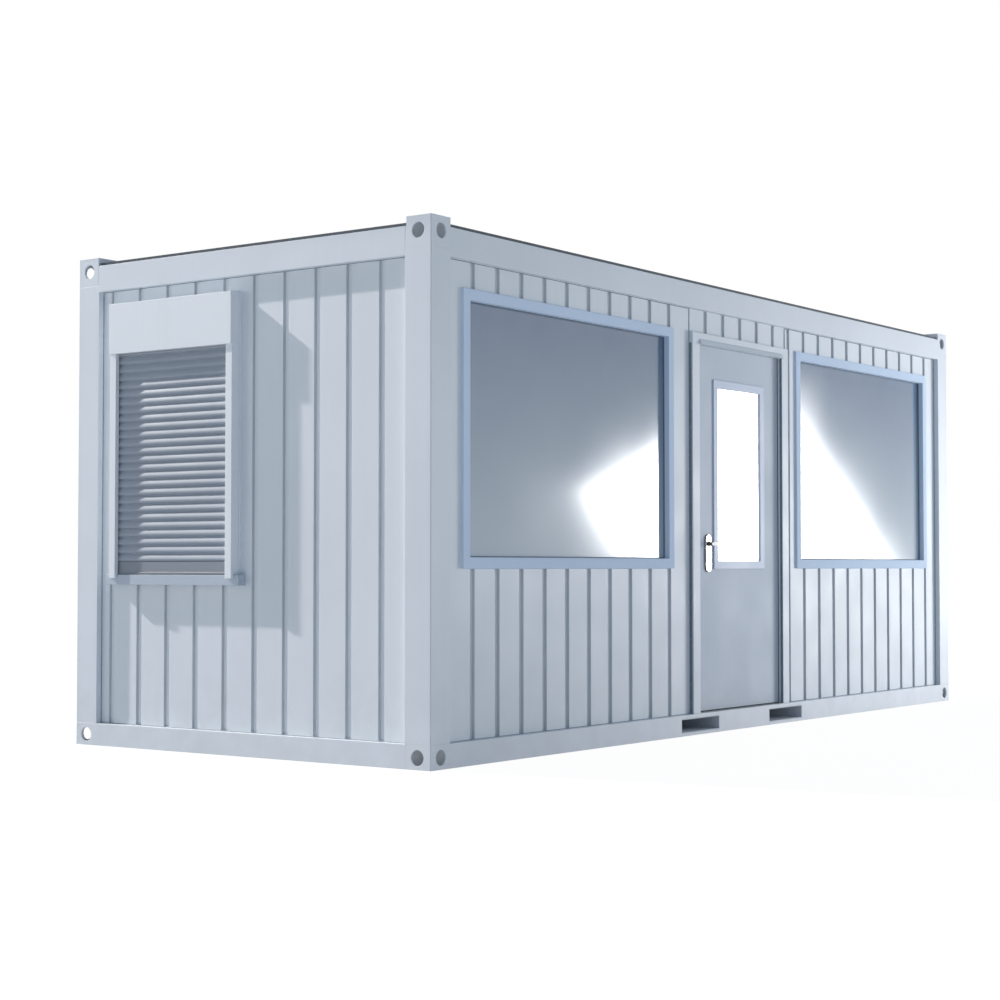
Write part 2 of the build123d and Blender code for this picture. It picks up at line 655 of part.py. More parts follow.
slot_x = base_face - GUIDE_SLOT_BACK - GUIDE_SLOT_WIDTH
curtain_low = SHUTTER_LOW + GUIDE_WIDTH - GUIDE_SLOT_DEPTH + SEAT_GAP
curtain_high = SHUTTER_HIGH - GUIDE_WIDTH + GUIDE_SLOT_DEPTH - SEAT_GAP
with BuildPart() as shutter_box:
    block((shutter_face, base_face), (SHUTTER_LOW, SHUTTER_HIGH), (BOX_BOTTOM, BOX_TOP))
    block(
        (shutter_face + BOX_WALL, base_face),
        (SHUTTER_LOW + BOX_WALL, SHUTTER_HIGH - BOX_WALL),
        (BOX_BOTTOM + BOX_WALL, BOX_TOP - BOX_WALL),
        mode=Mode.SUBTRACT,
    )
    block(
        (slot_x - SLAT_CROWN, slot_x + GUIDE_SLOT_WIDTH),
        (curtain_low - SEAT_GAP, curtain_high + SEAT_GAP),
        (BOX_BOTTOM, BOX_BOTTOM + BOX_WALL),
        mode=Mode.SUBTRACT,
    )
save(shutter_box.part, "shutter_box")

with BuildPart() as shutter_guides:
    for low, high, slot in (
        (SHUTTER_LOW, SHUTTER_LOW + GUIDE_WIDTH, SHUTTER_LOW + GUIDE_WIDTH - GUIDE_SLOT_DEPTH),
        (SHUTTER_HIGH - GUIDE_WIDTH, SHUTTER_HIGH, SHUTTER_HIGH - GUIDE_WIDTH),
    ):
        block((guide_face, base_face), (low, high), (SILL_TOP, BOX_BOTTOM))
        block((guide_face, sill_face), (low, high), (SILL_TOP - GUIDE_SILL_LAP, SILL_TOP))
        block(
            (slot_x, slot_x + GUIDE_SLOT_WIDTH),
            (slot, slot + GUIDE_SLOT_DEPTH),
            (SILL_TOP, BOX_BOTTOM),
            mode=Mode.SUBTRACT,
        )
save(shutter_guides.part, "shutter_guides")

curtain_back = slot_x + GUIDE_SLOT_WIDTH - SEAT_GAP
curtain_front = curtain_back - SLAT_THICKNESS
curtain_top = BOX_BOTTOM + CURTAIN_ENTRY
slats_bottom = SILL_TOP + BOTTOM_BAR_HEIGHT
slat_count = round((curtain_top - slats_bottom) / SLAT_PITCH)
slat_height = (curtain_top - slats_bottom) / slat_count
with BuildPart() as shutter_curtain:
    with BuildSketch(Plane((0, curtain_low, 0), x_dir=(1, 0, 0), z_dir=(0, -1, 0))):
        with BuildLine():
            Line((curtain_back, curtain_top), (curtain_back, SILL_TOP))
            Line((curtain_back, SILL_TOP), (curtain_front, SILL_TOP))
            Line((curtain_front, SILL_TOP), (curtain_front, slats_bottom))
            for index in range(slat_count):
                low = slats_bottom + index * slat_height
                ThreePointArc(
                    (curtain_front, low),
                    (curtain_front - SLAT_CROWN, low + slat_height / 2),
                    (curtain_front, low + slat_height),
                )
            Line((curtain_front, curtain_top), (curtain_back, curtain_top))
        make_face()
    extrude(amount=curtain_low - curtain_high)
save(shutter_curtain.part, "shutter_curtain")

with BuildPart() as shutter_sill:
    block(
        (sill_face, GABLE_FACE),
        (SHUTTER_LOW - SILL_PAST_GUIDES, SHUTTER_HIGH + SILL_PAST_GUIDES),
        (SILL_BOTTOM, SILL_TOP),
    )
save(shutter_sill.part, "shutter_sill")

# Door frame: two jambs, a head and a threshold. The stop is on the outside.
clear_half = DOOR_CLEAR_WIDTH / 2
jambs = []
for side in (-1, 1):
    inner_x = DOOR_MID_X + side * clear_half
    outer_x = DOOR_MID_X + side * DOOR_WIDTH / 2
    rebate_x = inner_x + side * DOOR_STOP_LAP
    with BuildPart() as jamb:
        with BuildSketch(Plane.XY.offset(FLOOR_TOP)):
            with BuildLine():
                Polyline(
                    (outer_x, DOOR_FACE),
                    (inner_x, DOOR_FACE),
                    (inner_x, STOP_BACK),
                    (rebate_x, STOP_BACK),
                    (rebate_x, PANEL_BACK),
                    (outer_x, PANEL_BACK),
                    close=True,
                )
            make_face()
        extrude(amount=DOOR_CLEAR_TOP - FLOOR_TOP)
    jambs.append(jamb.part)
save_set(jambs, "door_jambs")
with BuildPart() as door_head:
    with BuildSketch(Plane((DOOR_LEFT, 0, 0), x_dir=(0, 1, 0), z_dir=(1, 0, 0))):
        with BuildLine():
            Polyline(
                (DOOR_FACE, DOOR_FRAME_TOP),
                (DOOR_FACE, DOOR_CLEAR_TOP),
                (STOP_BACK, DOOR_CLEAR_TOP),
                (STOP_BACK, DOOR_CLEAR_TOP + DOOR_STOP_LAP),
                (PANEL_BACK, DOOR_CLEAR_TOP + DOOR_STOP_LAP),
                (PANEL_BACK, DOOR_FRAME_TOP),
                close=True,
            )
        make_face()
    extrude(amount=DOOR_WIDTH)
    for side in (-1, 1):
        edge = DOOR_MID_X + side * (clear_half + DOOR_STOP_LAP)
        block(
            sorted((edge, DOOR_MID_X + side * DOOR_WIDTH / 2)),
            (STOP_BACK, PANEL_BACK),
            (DOOR_CLEAR_TOP, DOOR_CLEAR_TOP + DOOR_STOP_LAP),
        )
save(door_head.part, "door_head")
with BuildPart() as door_threshold:
    block(
        (DOOR_MID_X - clear_half, DOOR_MID_X + clear_half),
        (DOOR_FACE, PANEL_BACK),
        (FLOOR_TOP, FLOOR_TOP + THRESHOLD_HEIGHT),
    )
save(door_threshold.part, "door_threshold")
with BuildPart() as drip_strip:
    with BuildSketch(Plane((DOOR_MID_X - clear_half, 0, 0), x_dir=(0, 1, 0), z_dir=(1, 0, 0))):
        with BuildLine():
            Polyline(
                (DOOR_FACE, DOOR_CLEAR_TOP),
                (DOOR_FACE - DRIP_DEPTH, DOOR_CLEAR_TOP),
                (DOOR_FACE, DOOR_CLEAR_TOP + DRIP_HEIGHT),
                close=True,
            )
        make_face()
    extrude(amount=DOOR_CLEAR_WIDTH)
save(drip_strip.part, "drip_strip")


def lock_profile(clearance):
    """Outline of the lock cylinder, its plug at the sketch's origin, grown by a clearance."""
    web_end = CYLINDER_HEIGHT - CYLINDER_RADIUS - CYLINDER_WEB / 2
    Circle(CYLINDER_RADIUS + clearance)
    with Locations((0, -web_end / 2)):
        Rectangle(CYLINDER_WEB + 2 * clearance, web_end)
    with Locations((0, -web_end)):
        Circle(CYLINDER_WEB / 2 + clearance)


# Door leaf with its glazed light, the spindle hole and the lock's cut.
light_x = (LIGHT_MID_X - LIGHT_WIDTH / 2, LIGHT_MID_X + LIGHT_WIDTH / 2)
light_top = LEAF_TOP - LIGHT_TOP_GAP
light_z = (light_top - LIGHT_HEIGHT, light_top)
with BuildPart() as door_leaf:
    block(
        (LEAF_RIGHT - LEAF_WIDTH, LEAF_RIGHT),
        (LEAF_FACE, LEAF_BACK),
        (LEAF_BOTTOM, LEAF_TOP),
    )
    block(
        (light_x[0] + LIGHT_LAP, light_x[1] - LIGHT_LAP),
        (LEAF_FACE, LEAF_BACK),
        (light_z[0] + LIGHT_LAP, light_z[1] - LIGHT_LAP),
        mode=Mode.SUBTRACT,
    )
    with BuildSketch(Plane((HANDLE_X, LEAF_FACE, HANDLE_Z), x_dir=(1, 0, 0), z_dir=(0, -1, 0))):
        Circle(SPINDLE_HOLE)
        with Locations((0, -CYLINDER_DROP)):
            lock_profile(PIN_GAP)
    extrude(amount=-LEAF_THICKNESS, mode=Mode.SUBTRACT)
save(door_leaf.part, "door_leaf")

light_glass_face = LEAF_FACE - LIGHT_PROUD + LIGHT_REVEAL
light_inner = LIGHT_FLANGE - LIGHT_GLASS_BITE
with BuildPart() as door_light_frame:
    frame_ring(light_x, light_z, LIGHT_FLANGE, (LEAF_FACE - LIGHT_PROUD, LEAF_FACE))
    frame_ring(light_x, light_z, LIGHT_FLANGE, (LEAF_BACK, LEAF_BACK + LIGHT_PROUD))
    lap = LIGHT_LAP + SEAT_GAP
    frame_ring(
        (light_x[0] + lap, light_x[1] - lap),
        (light_z[0] + lap, light_z[1] - lap),
        LIGHT_FLANGE - lap,
        (LEAF_FACE, LEAF_BACK),
    )
    block(
        (light_x[0] + light_inner, light_x[1] - light_inner),
        (light_glass_face, light_glass_face + LIGHT_GLASS),
        (light_z[0] + light_inner, light_z[1] - light_inner),
        mode=Mode.SUBTRACT,
    )
save(door_light_frame.part, "door_light_frame")
with BuildPart() as door_light_glass:
    block(
        (light_x[0] + light_inner + SEAT_GAP, light_x[1] - light_inner - SEAT_GAP),
        (light_glass_face, light_glass_face + LIGHT_GLASS),
        (light_z[0] + light_inner + SEAT_GAP, light_z[1] - light_inner - SEAT_GAP),
    )
save(door_light_glass.part, "door_light_glass")

# Hinges: the lower knuckle and its pin belong to the frame, the upper one to the leaf.
hinge_levels = [HINGE_LOWEST + HINGE_PITCH * index for index in range(HINGE_COUNT)]
rebate_right = DOOR_MID_X + clear_half + DOOR_STOP_LAP
with BuildPart() as hinges_on_frame:
    for level in hinge_levels:
        with BuildSketch(Plane.XY.offset(level)):
            with Locations((HINGE_X, HINGE_Y)):
                Circle(KNUCKLE_RADIUS)
        extrude(amount=KNUCKLE_LENGTH)
        with BuildSketch(Plane.XY.offset(level + KNUCKLE_LENGTH)):
            with Locations((HINGE_X, HINGE_Y)):
                Circle(HINGE_PIN_RADIUS)
        extrude(amount=HINGE_PIN_LENGTH)
        block(
            (HINGE_X, rebate_right),
            (HINGE_Y - HINGE_PLATE / 2, HINGE_Y + HINGE_PLATE / 2),
            (level, level + KNUCKLE_LENGTH),
        )
save(hinges_on_frame.part, "hinges_on_frame")
with BuildPart() as hinges_on_leaf:
    for level in hinge_levels:
        bottom = level + KNUCKLE_LENGTH + KNUCKLE_GAP
        block(
            (HINGE_X - HINGE_PLATE_WIDTH, HINGE_X),
            (LEAF_BACK, LEAF_BACK + HINGE_PLATE),
            (bottom, bottom + KNUCKLE_LENGTH),
        )
        with BuildSketch(Plane.XY.offset(bottom)):
            with Locations((HINGE_X, HINGE_Y)):
                Circle(KNUCKLE_RADIUS)
        extrude(amount=KNUCKLE_LENGTH)
        with BuildSketch(Plane.XY.offset(bottom)):
            with Locations((HINGE_X, HINGE_Y)):
                Circle(HINGE_PIN_RADIUS + PIN_GAP)
        extrude(amount=HINGE_PIN_LENGTH + KNUCKLE_GAP, mode=Mode.SUBTRACT)
save(hinges_on_leaf.part, "hinges_on_leaf")

# Lever handles on long plates, one on each face of the leaf, on one spindle.
with BuildPart() as handle_plates:
    for face, outward in ((LEAF_FACE, -1), (LEAF_BACK, 1)):
        outer = face + outward * PLATE_THICKNESS
        place = Plane((HANDLE_X, outer, HANDLE_Z), x_dir=(-outward, 0, 0), z_dir=(0, outward, 0))
        with BuildSketch(place):
            with Locations((0, (PLATE_BOTTOM + PLATE_TOP) / 2 - HANDLE_Z)):
                SlotOverall(PLATE_TOP - PLATE_BOTTOM, PLATE_WIDTH, rotation=90)
        extrude(amount=-PLATE_THICKNESS)
        fillet(handle_plates.faces().filter_by_position(Axis.Y, outer, outer).edges(), PLATE_ROUND)
        with BuildSketch(place):
            Circle(NECK_RADIUS + PIN_GAP)
            with Locations((0, -CYLINDER_DROP)):
                lock_profile(PIN_GAP)
        extrude(amount=-PLATE_THICKNESS, mode=Mode.SUBTRACT)
save(handle_plates.part, "handle_plates")

levers = []
for face, outward in ((LEAF_FACE, -1), (LEAF_BACK, 1)):
    start = face + outward * (PLATE_THICKNESS / 2)
    end = face + outward * LEVER_STAND_OFF
    with BuildPart() as lever:
        with BuildSketch(Plane((HANDLE_X, start, HANDLE_Z), x_dir=(1, 0, 0), z_dir=(0, outward, 0))):
            Circle(NECK_RADIUS)
        extrude(amount=LEVER_STAND_OFF - PLATE_THICKNESS / 2)
    with BuildPart() as bar:
        with BuildSketch(Plane((HANDLE_X, end, HANDLE_Z), x_dir=(1, 0, 0), z_dir=(0, outward, 0))):
            with Locations((LEVER_REACH / 2 - LEVER_HEIGHT / 2, 0)):
                SlotOverall(LEVER_REACH, LEVER_HEIGHT)
        extrude(amount=-LEVER_THICKNESS)
        rims = bar.faces().filter_by(Axis.Y).edges()
        fillet(rims, LEVER_ROUND)
    with BuildPart() as whole:
        add(lever.part)
        add(bar.part)
    levers.append(whole.part)
save_set(levers, "lever_handles")

with BuildPart() as handle_spindle:
    reach = PLATE_THICKNESS / 2 - SEAT_GAP
    with BuildSketch(Plane((HANDLE_X, LEAF_FACE - reach, HANDLE_Z), x_dir=(1, 0, 0), z_dir=(0, 1, 0))):
        Circle(SPINDLE_RADIUS)
    extrude(amount=LEAF_THICKNESS + 2 * reach)
save(handle_spindle.part, "handle_spindle")

# Lock cylinder through the leaf, proud of both plates.
lock_face = LEAF_FACE - PLATE_THICKNESS - CYLINDER_PROUD
lock_length = LEAF_THICKNESS + 2 * (PLATE_THICKNESS + CYLINDER_PROUD)
with BuildPart() as lock_cylinder:
    place = Plane((HANDLE_X, lock_face, HANDLE_Z - CYLINDER_DROP), x_dir=(1, 0, 0), z_dir=(0, -1, 0))
    with BuildSketch(place):
        lock_profile(0)
    extrude(amount=-lock_length)
save(lock_cylinder.part, "lock_cylinder")
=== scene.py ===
"""Looks of the office container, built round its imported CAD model. Metres, +Z up."""

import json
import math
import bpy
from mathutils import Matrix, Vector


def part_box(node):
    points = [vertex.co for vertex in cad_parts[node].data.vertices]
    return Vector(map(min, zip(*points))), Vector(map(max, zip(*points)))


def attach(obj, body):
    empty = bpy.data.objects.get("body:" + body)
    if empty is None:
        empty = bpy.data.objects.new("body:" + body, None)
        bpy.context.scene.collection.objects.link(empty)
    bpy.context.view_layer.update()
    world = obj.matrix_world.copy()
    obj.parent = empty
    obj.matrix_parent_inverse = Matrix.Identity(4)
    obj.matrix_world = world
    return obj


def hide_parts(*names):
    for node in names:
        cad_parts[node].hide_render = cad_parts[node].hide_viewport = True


bl_info = {
    "name": "Office Container Looks",
    "version": (1, 0, 0),
    "blender": (4, 5, 0),
    "location": "3D View > Sidebar > Cabin",
    "description": "Finishes, trim and a plain studio for the office container",
    "category": "Object",
}

import bmesh
import bpy
from bpy.props import FloatProperty, FloatVectorProperty, PointerProperty
from mathutils import Matrix, Vector

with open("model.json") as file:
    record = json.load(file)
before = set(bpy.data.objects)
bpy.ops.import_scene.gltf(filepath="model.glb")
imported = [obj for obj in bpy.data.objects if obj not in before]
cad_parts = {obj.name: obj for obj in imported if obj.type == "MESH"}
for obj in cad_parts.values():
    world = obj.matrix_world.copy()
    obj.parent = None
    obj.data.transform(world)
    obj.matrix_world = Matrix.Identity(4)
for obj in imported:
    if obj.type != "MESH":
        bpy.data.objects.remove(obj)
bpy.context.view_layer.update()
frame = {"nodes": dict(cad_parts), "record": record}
MM = 0.001
# Sizes within the CAD model that no node's box gives.
FOLD_DEPTH = 12 * MM
CASTING_SIDE, CASTING_WALL = 151 * MM, 12 * MM
# Faces of the wall sheets nearer to the middle than this, along x and y, belong to the room.
ROOM_REACH = (2.9, 1.09)


def hex_colour(text):
    """An sRGB hex value as a linear colour."""
    channels = [int(text[i:i + 2], 16) / 255 for i in (1, 3, 5)]
    linear = [c / 12.92 if c <= 0.04045 else ((c + 0.055) / 1.055) ** 2.4 for c in channels]
    return (*linear, 1.0)


def colour_setting(name, text, description):
    """A colour that the sidebar shows, from its hex value."""
    return FloatVectorProperty(
        name=name, description=description, subtype="COLOR", size=4, min=0, max=1,
        default=hex_colour(text),
    )


def length_setting(name, millimetres, description):
    """A length that the sidebar shows, from its size in millimetres."""
    return FloatProperty(name=name, description=description, default=millimetres * MM, unit="LENGTH")


class CabinFinish(bpy.types.PropertyGroup):
    """Colours and wear of the cabin's finishes."""
    frame_colour: colour_setting("Frame", "#D6DDE4", "Coat of rails, posts and castings")
    panel_colour: colour_setting("Panels", "#D9E0E6", "Coil coat of the wall sheets")
    window_colour: colour_setting("Window frames", "#D2E3F6", "Bluish coat of the window flanges")
    light_colour: colour_setting("Door light", "#C3CEE0", "Coat of the frame round the door's pane")
    door_colour: colour_setting("Door frame", "#D8DFE6", "Coat of the door frame")
    leaf_colour: colour_setting("Door leaf", "#C3CCD7", "Coat of the door leaf")
    shutter_colour: colour_setting("Shutter", "#E2E8EE", "Coat of the shutter box and guides")
    slat_colour: colour_setting("Slats", "#98A1AD", "Coat of the rolled slats")
    # Painted shade: the sill's colour is deeper than the shutter's, to stand in for the shadow on it.
    sill_shaded_colour: colour_setting("Sill", "#B1BDCA", "Coat of the shutter's sill")
    dirt: FloatProperty(name="Dirt", description="Share of dust low on the walls", default=0.10, min=0, max=1)
    wear: FloatProperty(name="Wear", description="Share of rubbed paint on edges", default=0.25, min=0, max=1)


class CabinTrim(bpy.types.PropertyGroup):
    """Sizes of the pieces that the CAD model leaves to the looks."""
    slat_pitch: length_setting("Slat pitch", 44, "Height of one shutter slat")
    slat_web: length_setting("Slat web", 3, "Thickness of a slat at its hinge")
    bead_radius: length_setting("Sealant bead", 4, "Radius of the sealant in the corners")
    screw_radius: length_setting("Screw head", 4.5, "Radius of a pan head screw")
    skirting_height: length_setting("Skirting", 60, "Height of the skirting inside")
    skirting_depth: length_setting("Skirting depth", 10, "Depth of the skirting inside")


class CabinStage(bpy.types.PropertyGroup):
    """Camera and light of the plain studio."""
    lens: FloatProperty(name="Lens", description="Focal length in millimetres", default=70.37)
    camera_place: FloatVectorProperty(
        name="Camera", description="Place of the camera", subtype="TRANSLATION",
        default=(-10.293, -6.894, 0.959),
    )
    camera_turn: FloatProperty(
        name="Turn", description="Heading of the camera from +Y towards +X",
        default=math.radians(54.03), subtype="ANGLE",
    )
    camera_rise: FloatProperty(
        name="Rise", description="Upward tilt of the camera", default=0.0342, subtype="ANGLE",
    )
    sun_strength: FloatProperty(name="Sun", description="Strength of the key light", default=5.5)
    scrim: FloatProperty(
        name="Scrim", description="Share of the key light that reaches the rear side and the roof",
        default=0.3, min=0, max=1,
    )
    sky_low: FloatProperty(name="Low sky", description="Strength of the sky at the horizon", default=0.26)
    sky_high: FloatProperty(name="High sky", description="Strength of the sky overhead", default=0.56)
    softbox_power: FloatProperty(name="Softbox", description="Power of the softbox in watts", default=300)
    fill_power: FloatProperty(
        name="Fill", description="Power of the small fill at the far gable post in watts", default=24,
    )


# ---------------------------------------------------------------- meshes

def placed(name, data):
    """A new object in the scene."""
    made = bpy.data.objects.new(name, data)
    bpy.context.scene.collection.objects.link(made)
    return made


def dress(name, mesh, body, slot, finish=None, smooth=False):
    """Turns a mesh into a piece that rides on its body, in the finish of its slot unless one is named."""
    mesh.name = name
    mesh.materials.clear()
    mesh.materials.append(FINISH[finish or slot])
    for polygon in mesh.polygons:
        polygon.use_smooth = smooth
    piece = placed(name, mesh)
    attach(piece, body)
    return piece


def mesh_of(build):
    """A closed mesh from a function that fills a bmesh, with its faces pointing outwards."""
    same_point = 1e-6
    shape = bmesh.new()
    build(shape)
    bmesh.ops.remove_doubles(shape, verts=shape.verts, dist=same_point)
    bmesh.ops.recalc_face_normals(shape, faces=shape.faces)
    mesh = bpy.data.meshes.new("shape")
    shape.to_mesh(mesh)
    shape.free()
    return mesh


def add_box(shape, low, high, bevel=0.0):
    """A box in a bmesh from its two corners, with softened edges."""
    low, high = Vector(low), Vector(high)
    made = bmesh.ops.create_cube(shape, size=1.0)["verts"]
    for vert in made:
        vert.co = Vector(((low[i] + high[i]) / 2 + vert.co[i] * (high[i] - low[i]) for i in range(3)))
    if bevel:
        edges = list({edge for vert in made for edge in vert.link_edges})
        bmesh.ops.bevel(shape, geom=edges, offset=bevel, segments=2, profile=0.5, affect="EDGES")


def boxes_mesh(boxes, bevel=0.0):
    """A mesh of boxes, each from its two corners, with softened edges."""
    return mesh_of(lambda shape: [add_box(shape, low, high, bevel) for low, high in boxes])


def add_loft(shape, rings, hollow=False):
    """A skin through rings of equally many points: capped, or hollow with the last joined to the first."""
    loops = [[shape.verts.new(point) for point in ring] for ring in rings]
    count = len(loops[0])
    for first, last in zip(loops, loops[1:] + loops[:1] if hollow else loops[1:]):
        for i in range(count):
            j = (i + 1) % count
            shape.faces.new((first[i], first[j], last[j], last[i]))
    if not hollow:
        shape.faces.new(list(reversed(loops[0])))
        shape.faces.new(loops[-1])


def path_object(name, paths):
    """Straight stretches round closed paths as a curve object, one spline for each path."""
    curve = bpy.data.curves.new(name, "CURVE")
    curve.dimensions = "3D"
    for path in paths:
        spline = curve.splines.new("POLY")
        spline.points.add(len(path) - 1)
        for point, place in zip(spline.points, path):
            point.co = (*place, 1.0)
        spline.use_cyclic_u = True
    return bpy.data.objects.new(name, curve)


def point_object(name, places, facing):
    """Loose points as a mesh object. All of them face the same way."""
    mesh = bpy.data.meshes.new(name)
    mesh.from_pydata([tuple(place) for place in places], [], [])
    ways = mesh.attributes.new("facing", "FLOAT_VECTOR", "POINT")
    for entry in ways.data:
        entry.vector = facing
    return bpy.data.objects.new(name, mesh)


# ---------------------------------------------------------------- node trees

def feed(tree, node, feeds):
    """Gives inputs of a node their values, or links them to sockets."""
    for key, value in feeds.items():
        if isinstance(value, bpy.types.NodeSocket):
            tree.links.new(value, node.inputs[key])
        else:
            node.inputs[key].default_value = value


def add_node(tree, kind, feeds=None, **settings):
    """Adds a node: settings are its attributes, feeds are values or sockets for its inputs."""
    node = tree.nodes.new(kind)
    for name, value in settings.items():
        setattr(node, name, value)
    feed(tree, node, feeds or {})
    return node


def start_group(name, sockets):
    """A geometry node group with its named inputs, as the tree and its group input."""
    tree = bpy.data.node_groups.new(name, "GeometryNodeTree")
    tree.interface.new_socket("Geometry", in_out="OUTPUT", socket_type="NodeSocketGeometry")
    tree.interface.new_socket("Geometry", in_out="INPUT", socket_type="NodeSocketGeometry")
    for title, kind in sockets.items():
        tree.interface.new_socket(title, in_out="INPUT", socket_type=kind)
    return tree, add_node(tree, "NodeGroupInput")


def end_group(tree, shape, given):
    """Closes a group: real geometry, one material, and the output."""
    real = add_node(tree, "GeometryNodeRealizeInstances", {0: shape}).outputs[0]
    coated = add_node(tree, "GeometryNodeSetMaterial", {0: real, "Material": given.outputs["Material"]})
    add_node(tree, "NodeGroupOutput", {0: coated.outputs[0]})
    return tree


def stack_group():
    """Copies of one piece, a fixed step apart."""
    tree, given = start_group("stack", {
        "Count": "NodeSocketInt", "Step": "NodeSocketVector", "Material": "NodeSocketMaterial",
    })
    row = add_node(tree, "GeometryNodeMeshLine", {
        "Count": given.outputs["Count"], "Offset": given.outputs["Step"],
    })
    copies = add_node(tree, "GeometryNodeInstanceOnPoints", {0: row.outputs[0], "Instance": given.outputs[0]})
    return end_group(tree, copies.outputs[0], given)


def bead_group():
    """A hand laid bead along each path, its thickness and place a little uneven."""
    tree, given = start_group("bead", {
        "Radius": "NodeSocketFloat", "Uneven": "NodeSocketFloat", "Material": "NodeSocketMaterial",
    })
    stretch = 20 * MM
    fine = add_node(tree, "GeometryNodeResampleCurve", {0: given.outputs[0], "Length": stretch},
                    mode="LENGTH")
    wave = add_node(tree, "ShaderNodeTexNoise", {"Scale": 9.0, "Detail": 2.0})
    swell = add_node(tree, "ShaderNodeMapRange", {
        "Value": wave.outputs[0], "From Min": 0.3, "From Max": 0.7, "To Min": 0.8, "To Max": 1.0,
    })
    sized = add_node(tree, "GeometryNodeSetCurveRadius", {0: fine.outputs[0], "Radius": swell.outputs[0]})
    round_bar = add_node(tree, "GeometryNodeCurvePrimitiveCircle", {
        "Resolution": 8, "Radius": given.outputs["Radius"],
    })
    swept = add_node(tree, "GeometryNodeCurveToMesh", {
        0: sized.outputs[0], 1: round_bar.outputs[0], "Scale": swell.outputs[0], "Fill Caps": True,
    })
    jitter = add_node(tree, "ShaderNodeVectorMath", {0: wave.outputs[1], 1: (-0.5, -0.5, -0.5)},
                      operation="ADD")
    moved = add_node(tree, "ShaderNodeVectorMath", {0: jitter.outputs[0], "Scale": given.outputs["Uneven"]},
                     operation="SCALE")
    laid = add_node(tree, "GeometryNodeSetPosition", {0: swept.outputs[0], "Offset": moved.outputs[0]})
    smooth = add_node(tree, "GeometryNodeSetShadeSmooth", {0: laid.outputs[0]})
    return end_group(tree, smooth.outputs[0], given)


def head_group():
    """A pan head on each point, turned to the way that the point faces."""
    tree, given = start_group("heads", {
        "Radius": "NodeSocketFloat", "Height": "NodeSocketFloat", "Material": "NodeSocketMaterial",
    })
    disc = add_node(tree, "GeometryNodeMeshCylinder", {
        "Vertices": 16, "Radius": given.outputs["Radius"], "Depth": given.outputs["Height"],
    })
    way = add_node(tree, "GeometryNodeInputNamedAttribute", {"Name": "facing"}, data_type="FLOAT_VECTOR")
    turned = add_node(tree, "FunctionNodeAlignRotationToVector", {"Vector": way.outputs[0]}, axis="Z")
    heads = add_node(tree, "GeometryNodeInstanceOnPoints", {
        0: given.outputs[0], "Instance": disc.outputs[0], "Rotation": turned.outputs[0],
    })
    return end_group(tree, heads.outputs[0], given)


def grown(source, tree, values):
    """The plain mesh that a geometry node group makes of a source object, which is then gone."""
    bpy.context.scene.collection.objects.link(source)
    modifier = source.modifiers.new(tree.name, "NODES")
    modifier.node_group = tree
    for item in tree.interface.items_tree:
        if item.in_out == "INPUT" and item.name in values:
            modifier[item.identifier] = values[item.name]
    bpy.context.view_layer.update()
    ready = source.evaluated_get(bpy.context.evaluated_depsgraph_get())
    mesh = bpy.data.meshes.new_from_object(ready)
    source.modifiers.remove(modifier)
    bpy.data.objects.remove(source)
    if not mesh.polygons:
        raise RuntimeError(f"{tree.name} made an empty mesh")
    return mesh


# ---------------------------------------------------------------- materials

def start_material(name):
    """An empty material with its output, shader and object coordinates."""
    material = bpy.data.materials.new(name)
    material.use_nodes = True
    tree = material.node_tree
    tree.nodes.clear()
    shader = add_node(tree, "ShaderNodeBsdfPrincipled")
    add_node(tree, "ShaderNodeOutputMaterial", {"Surface": shader.outputs[0]})
    place = add_node(tree, "ShaderNodeTexCoord").outputs["Object"]
    return material, tree, shader, place


def patches(tree, place, size, low=0.0, high=1.0, edge=(0.3, 0.7), detail=3.0, stretch=(1, 1, 1)):
    """Soft patches about as wide as a size in metres, as a value between low and high."""
    spread = add_node(tree, "ShaderNodeMapping", {"Vector": place, "Scale": stretch})
    noise = add_node(tree, "ShaderNodeTexNoise", {
        "Vector": spread.outputs[0], "Scale": 1 / size, "Detail": detail,
    })
    return add_node(tree, "ShaderNodeMapRange", {
        "Value": noise.outputs[0], "From Min": edge[0], "From Max": edge[1], "To Min": low, "To Max": high,
    }).outputs[0]


def shade_of(colour, factor):
    """A colour made lighter or darker."""
    return (*[min(1.0, c * factor) for c in colour[:3]], 1.0)


def drifting_tone(tree, place, colour, drift):
    """A coat whose tone drifts slowly over a metre, with faint marks of running water."""
    drift_width, run_width, run_stretch = 0.9, 30 * MM, (1, 1, 0.03)
    slow = patches(tree, place, drift_width, edge=(0.35, 0.65))
    base = add_node(tree, "ShaderNodeMix", {
        0: slow, 6: shade_of(colour, 1 - drift), 7: shade_of(colour, 1 + drift),
    }, data_type="RGBA").outputs[2]
    runs = patches(tree, place, run_width, 0, 0.08, (0.5, 0.8), 2.0, run_stretch)
    return add_node(tree, "ShaderNodeMix", {
        0: runs, 6: base, 7: shade_of(colour, 0.8),
    }, data_type="RGBA").outputs[2]


def dusty_foot(tree, place, base, amount):
    """Splashed dust in patches on the lowest 0.6 m."""
    full, gone, splash = 0.02, 0.65, 120 * MM
    height = add_node(tree, "ShaderNodeSeparateXYZ", {0: place}).outputs["Z"]
    foot = add_node(tree, "ShaderNodeMapRange", {
        "Value": height, "From Min": full, "From Max": gone, "To Min": 1.0, "To Max": 0.0,
    }).outputs[0]
    spots = patches(tree, place, splash, 0, amount, (0.35, 0.7), 4.0)
    share = add_node(tree, "ShaderNodeMath", {0: foot, 1: spots}, operation="MULTIPLY").outputs[0]
    return add_node(tree, "ShaderNodeMix", {
        0: share, 6: base, 7: hex_colour("#8F8B83"),
    }, data_type="RGBA").outputs[2]


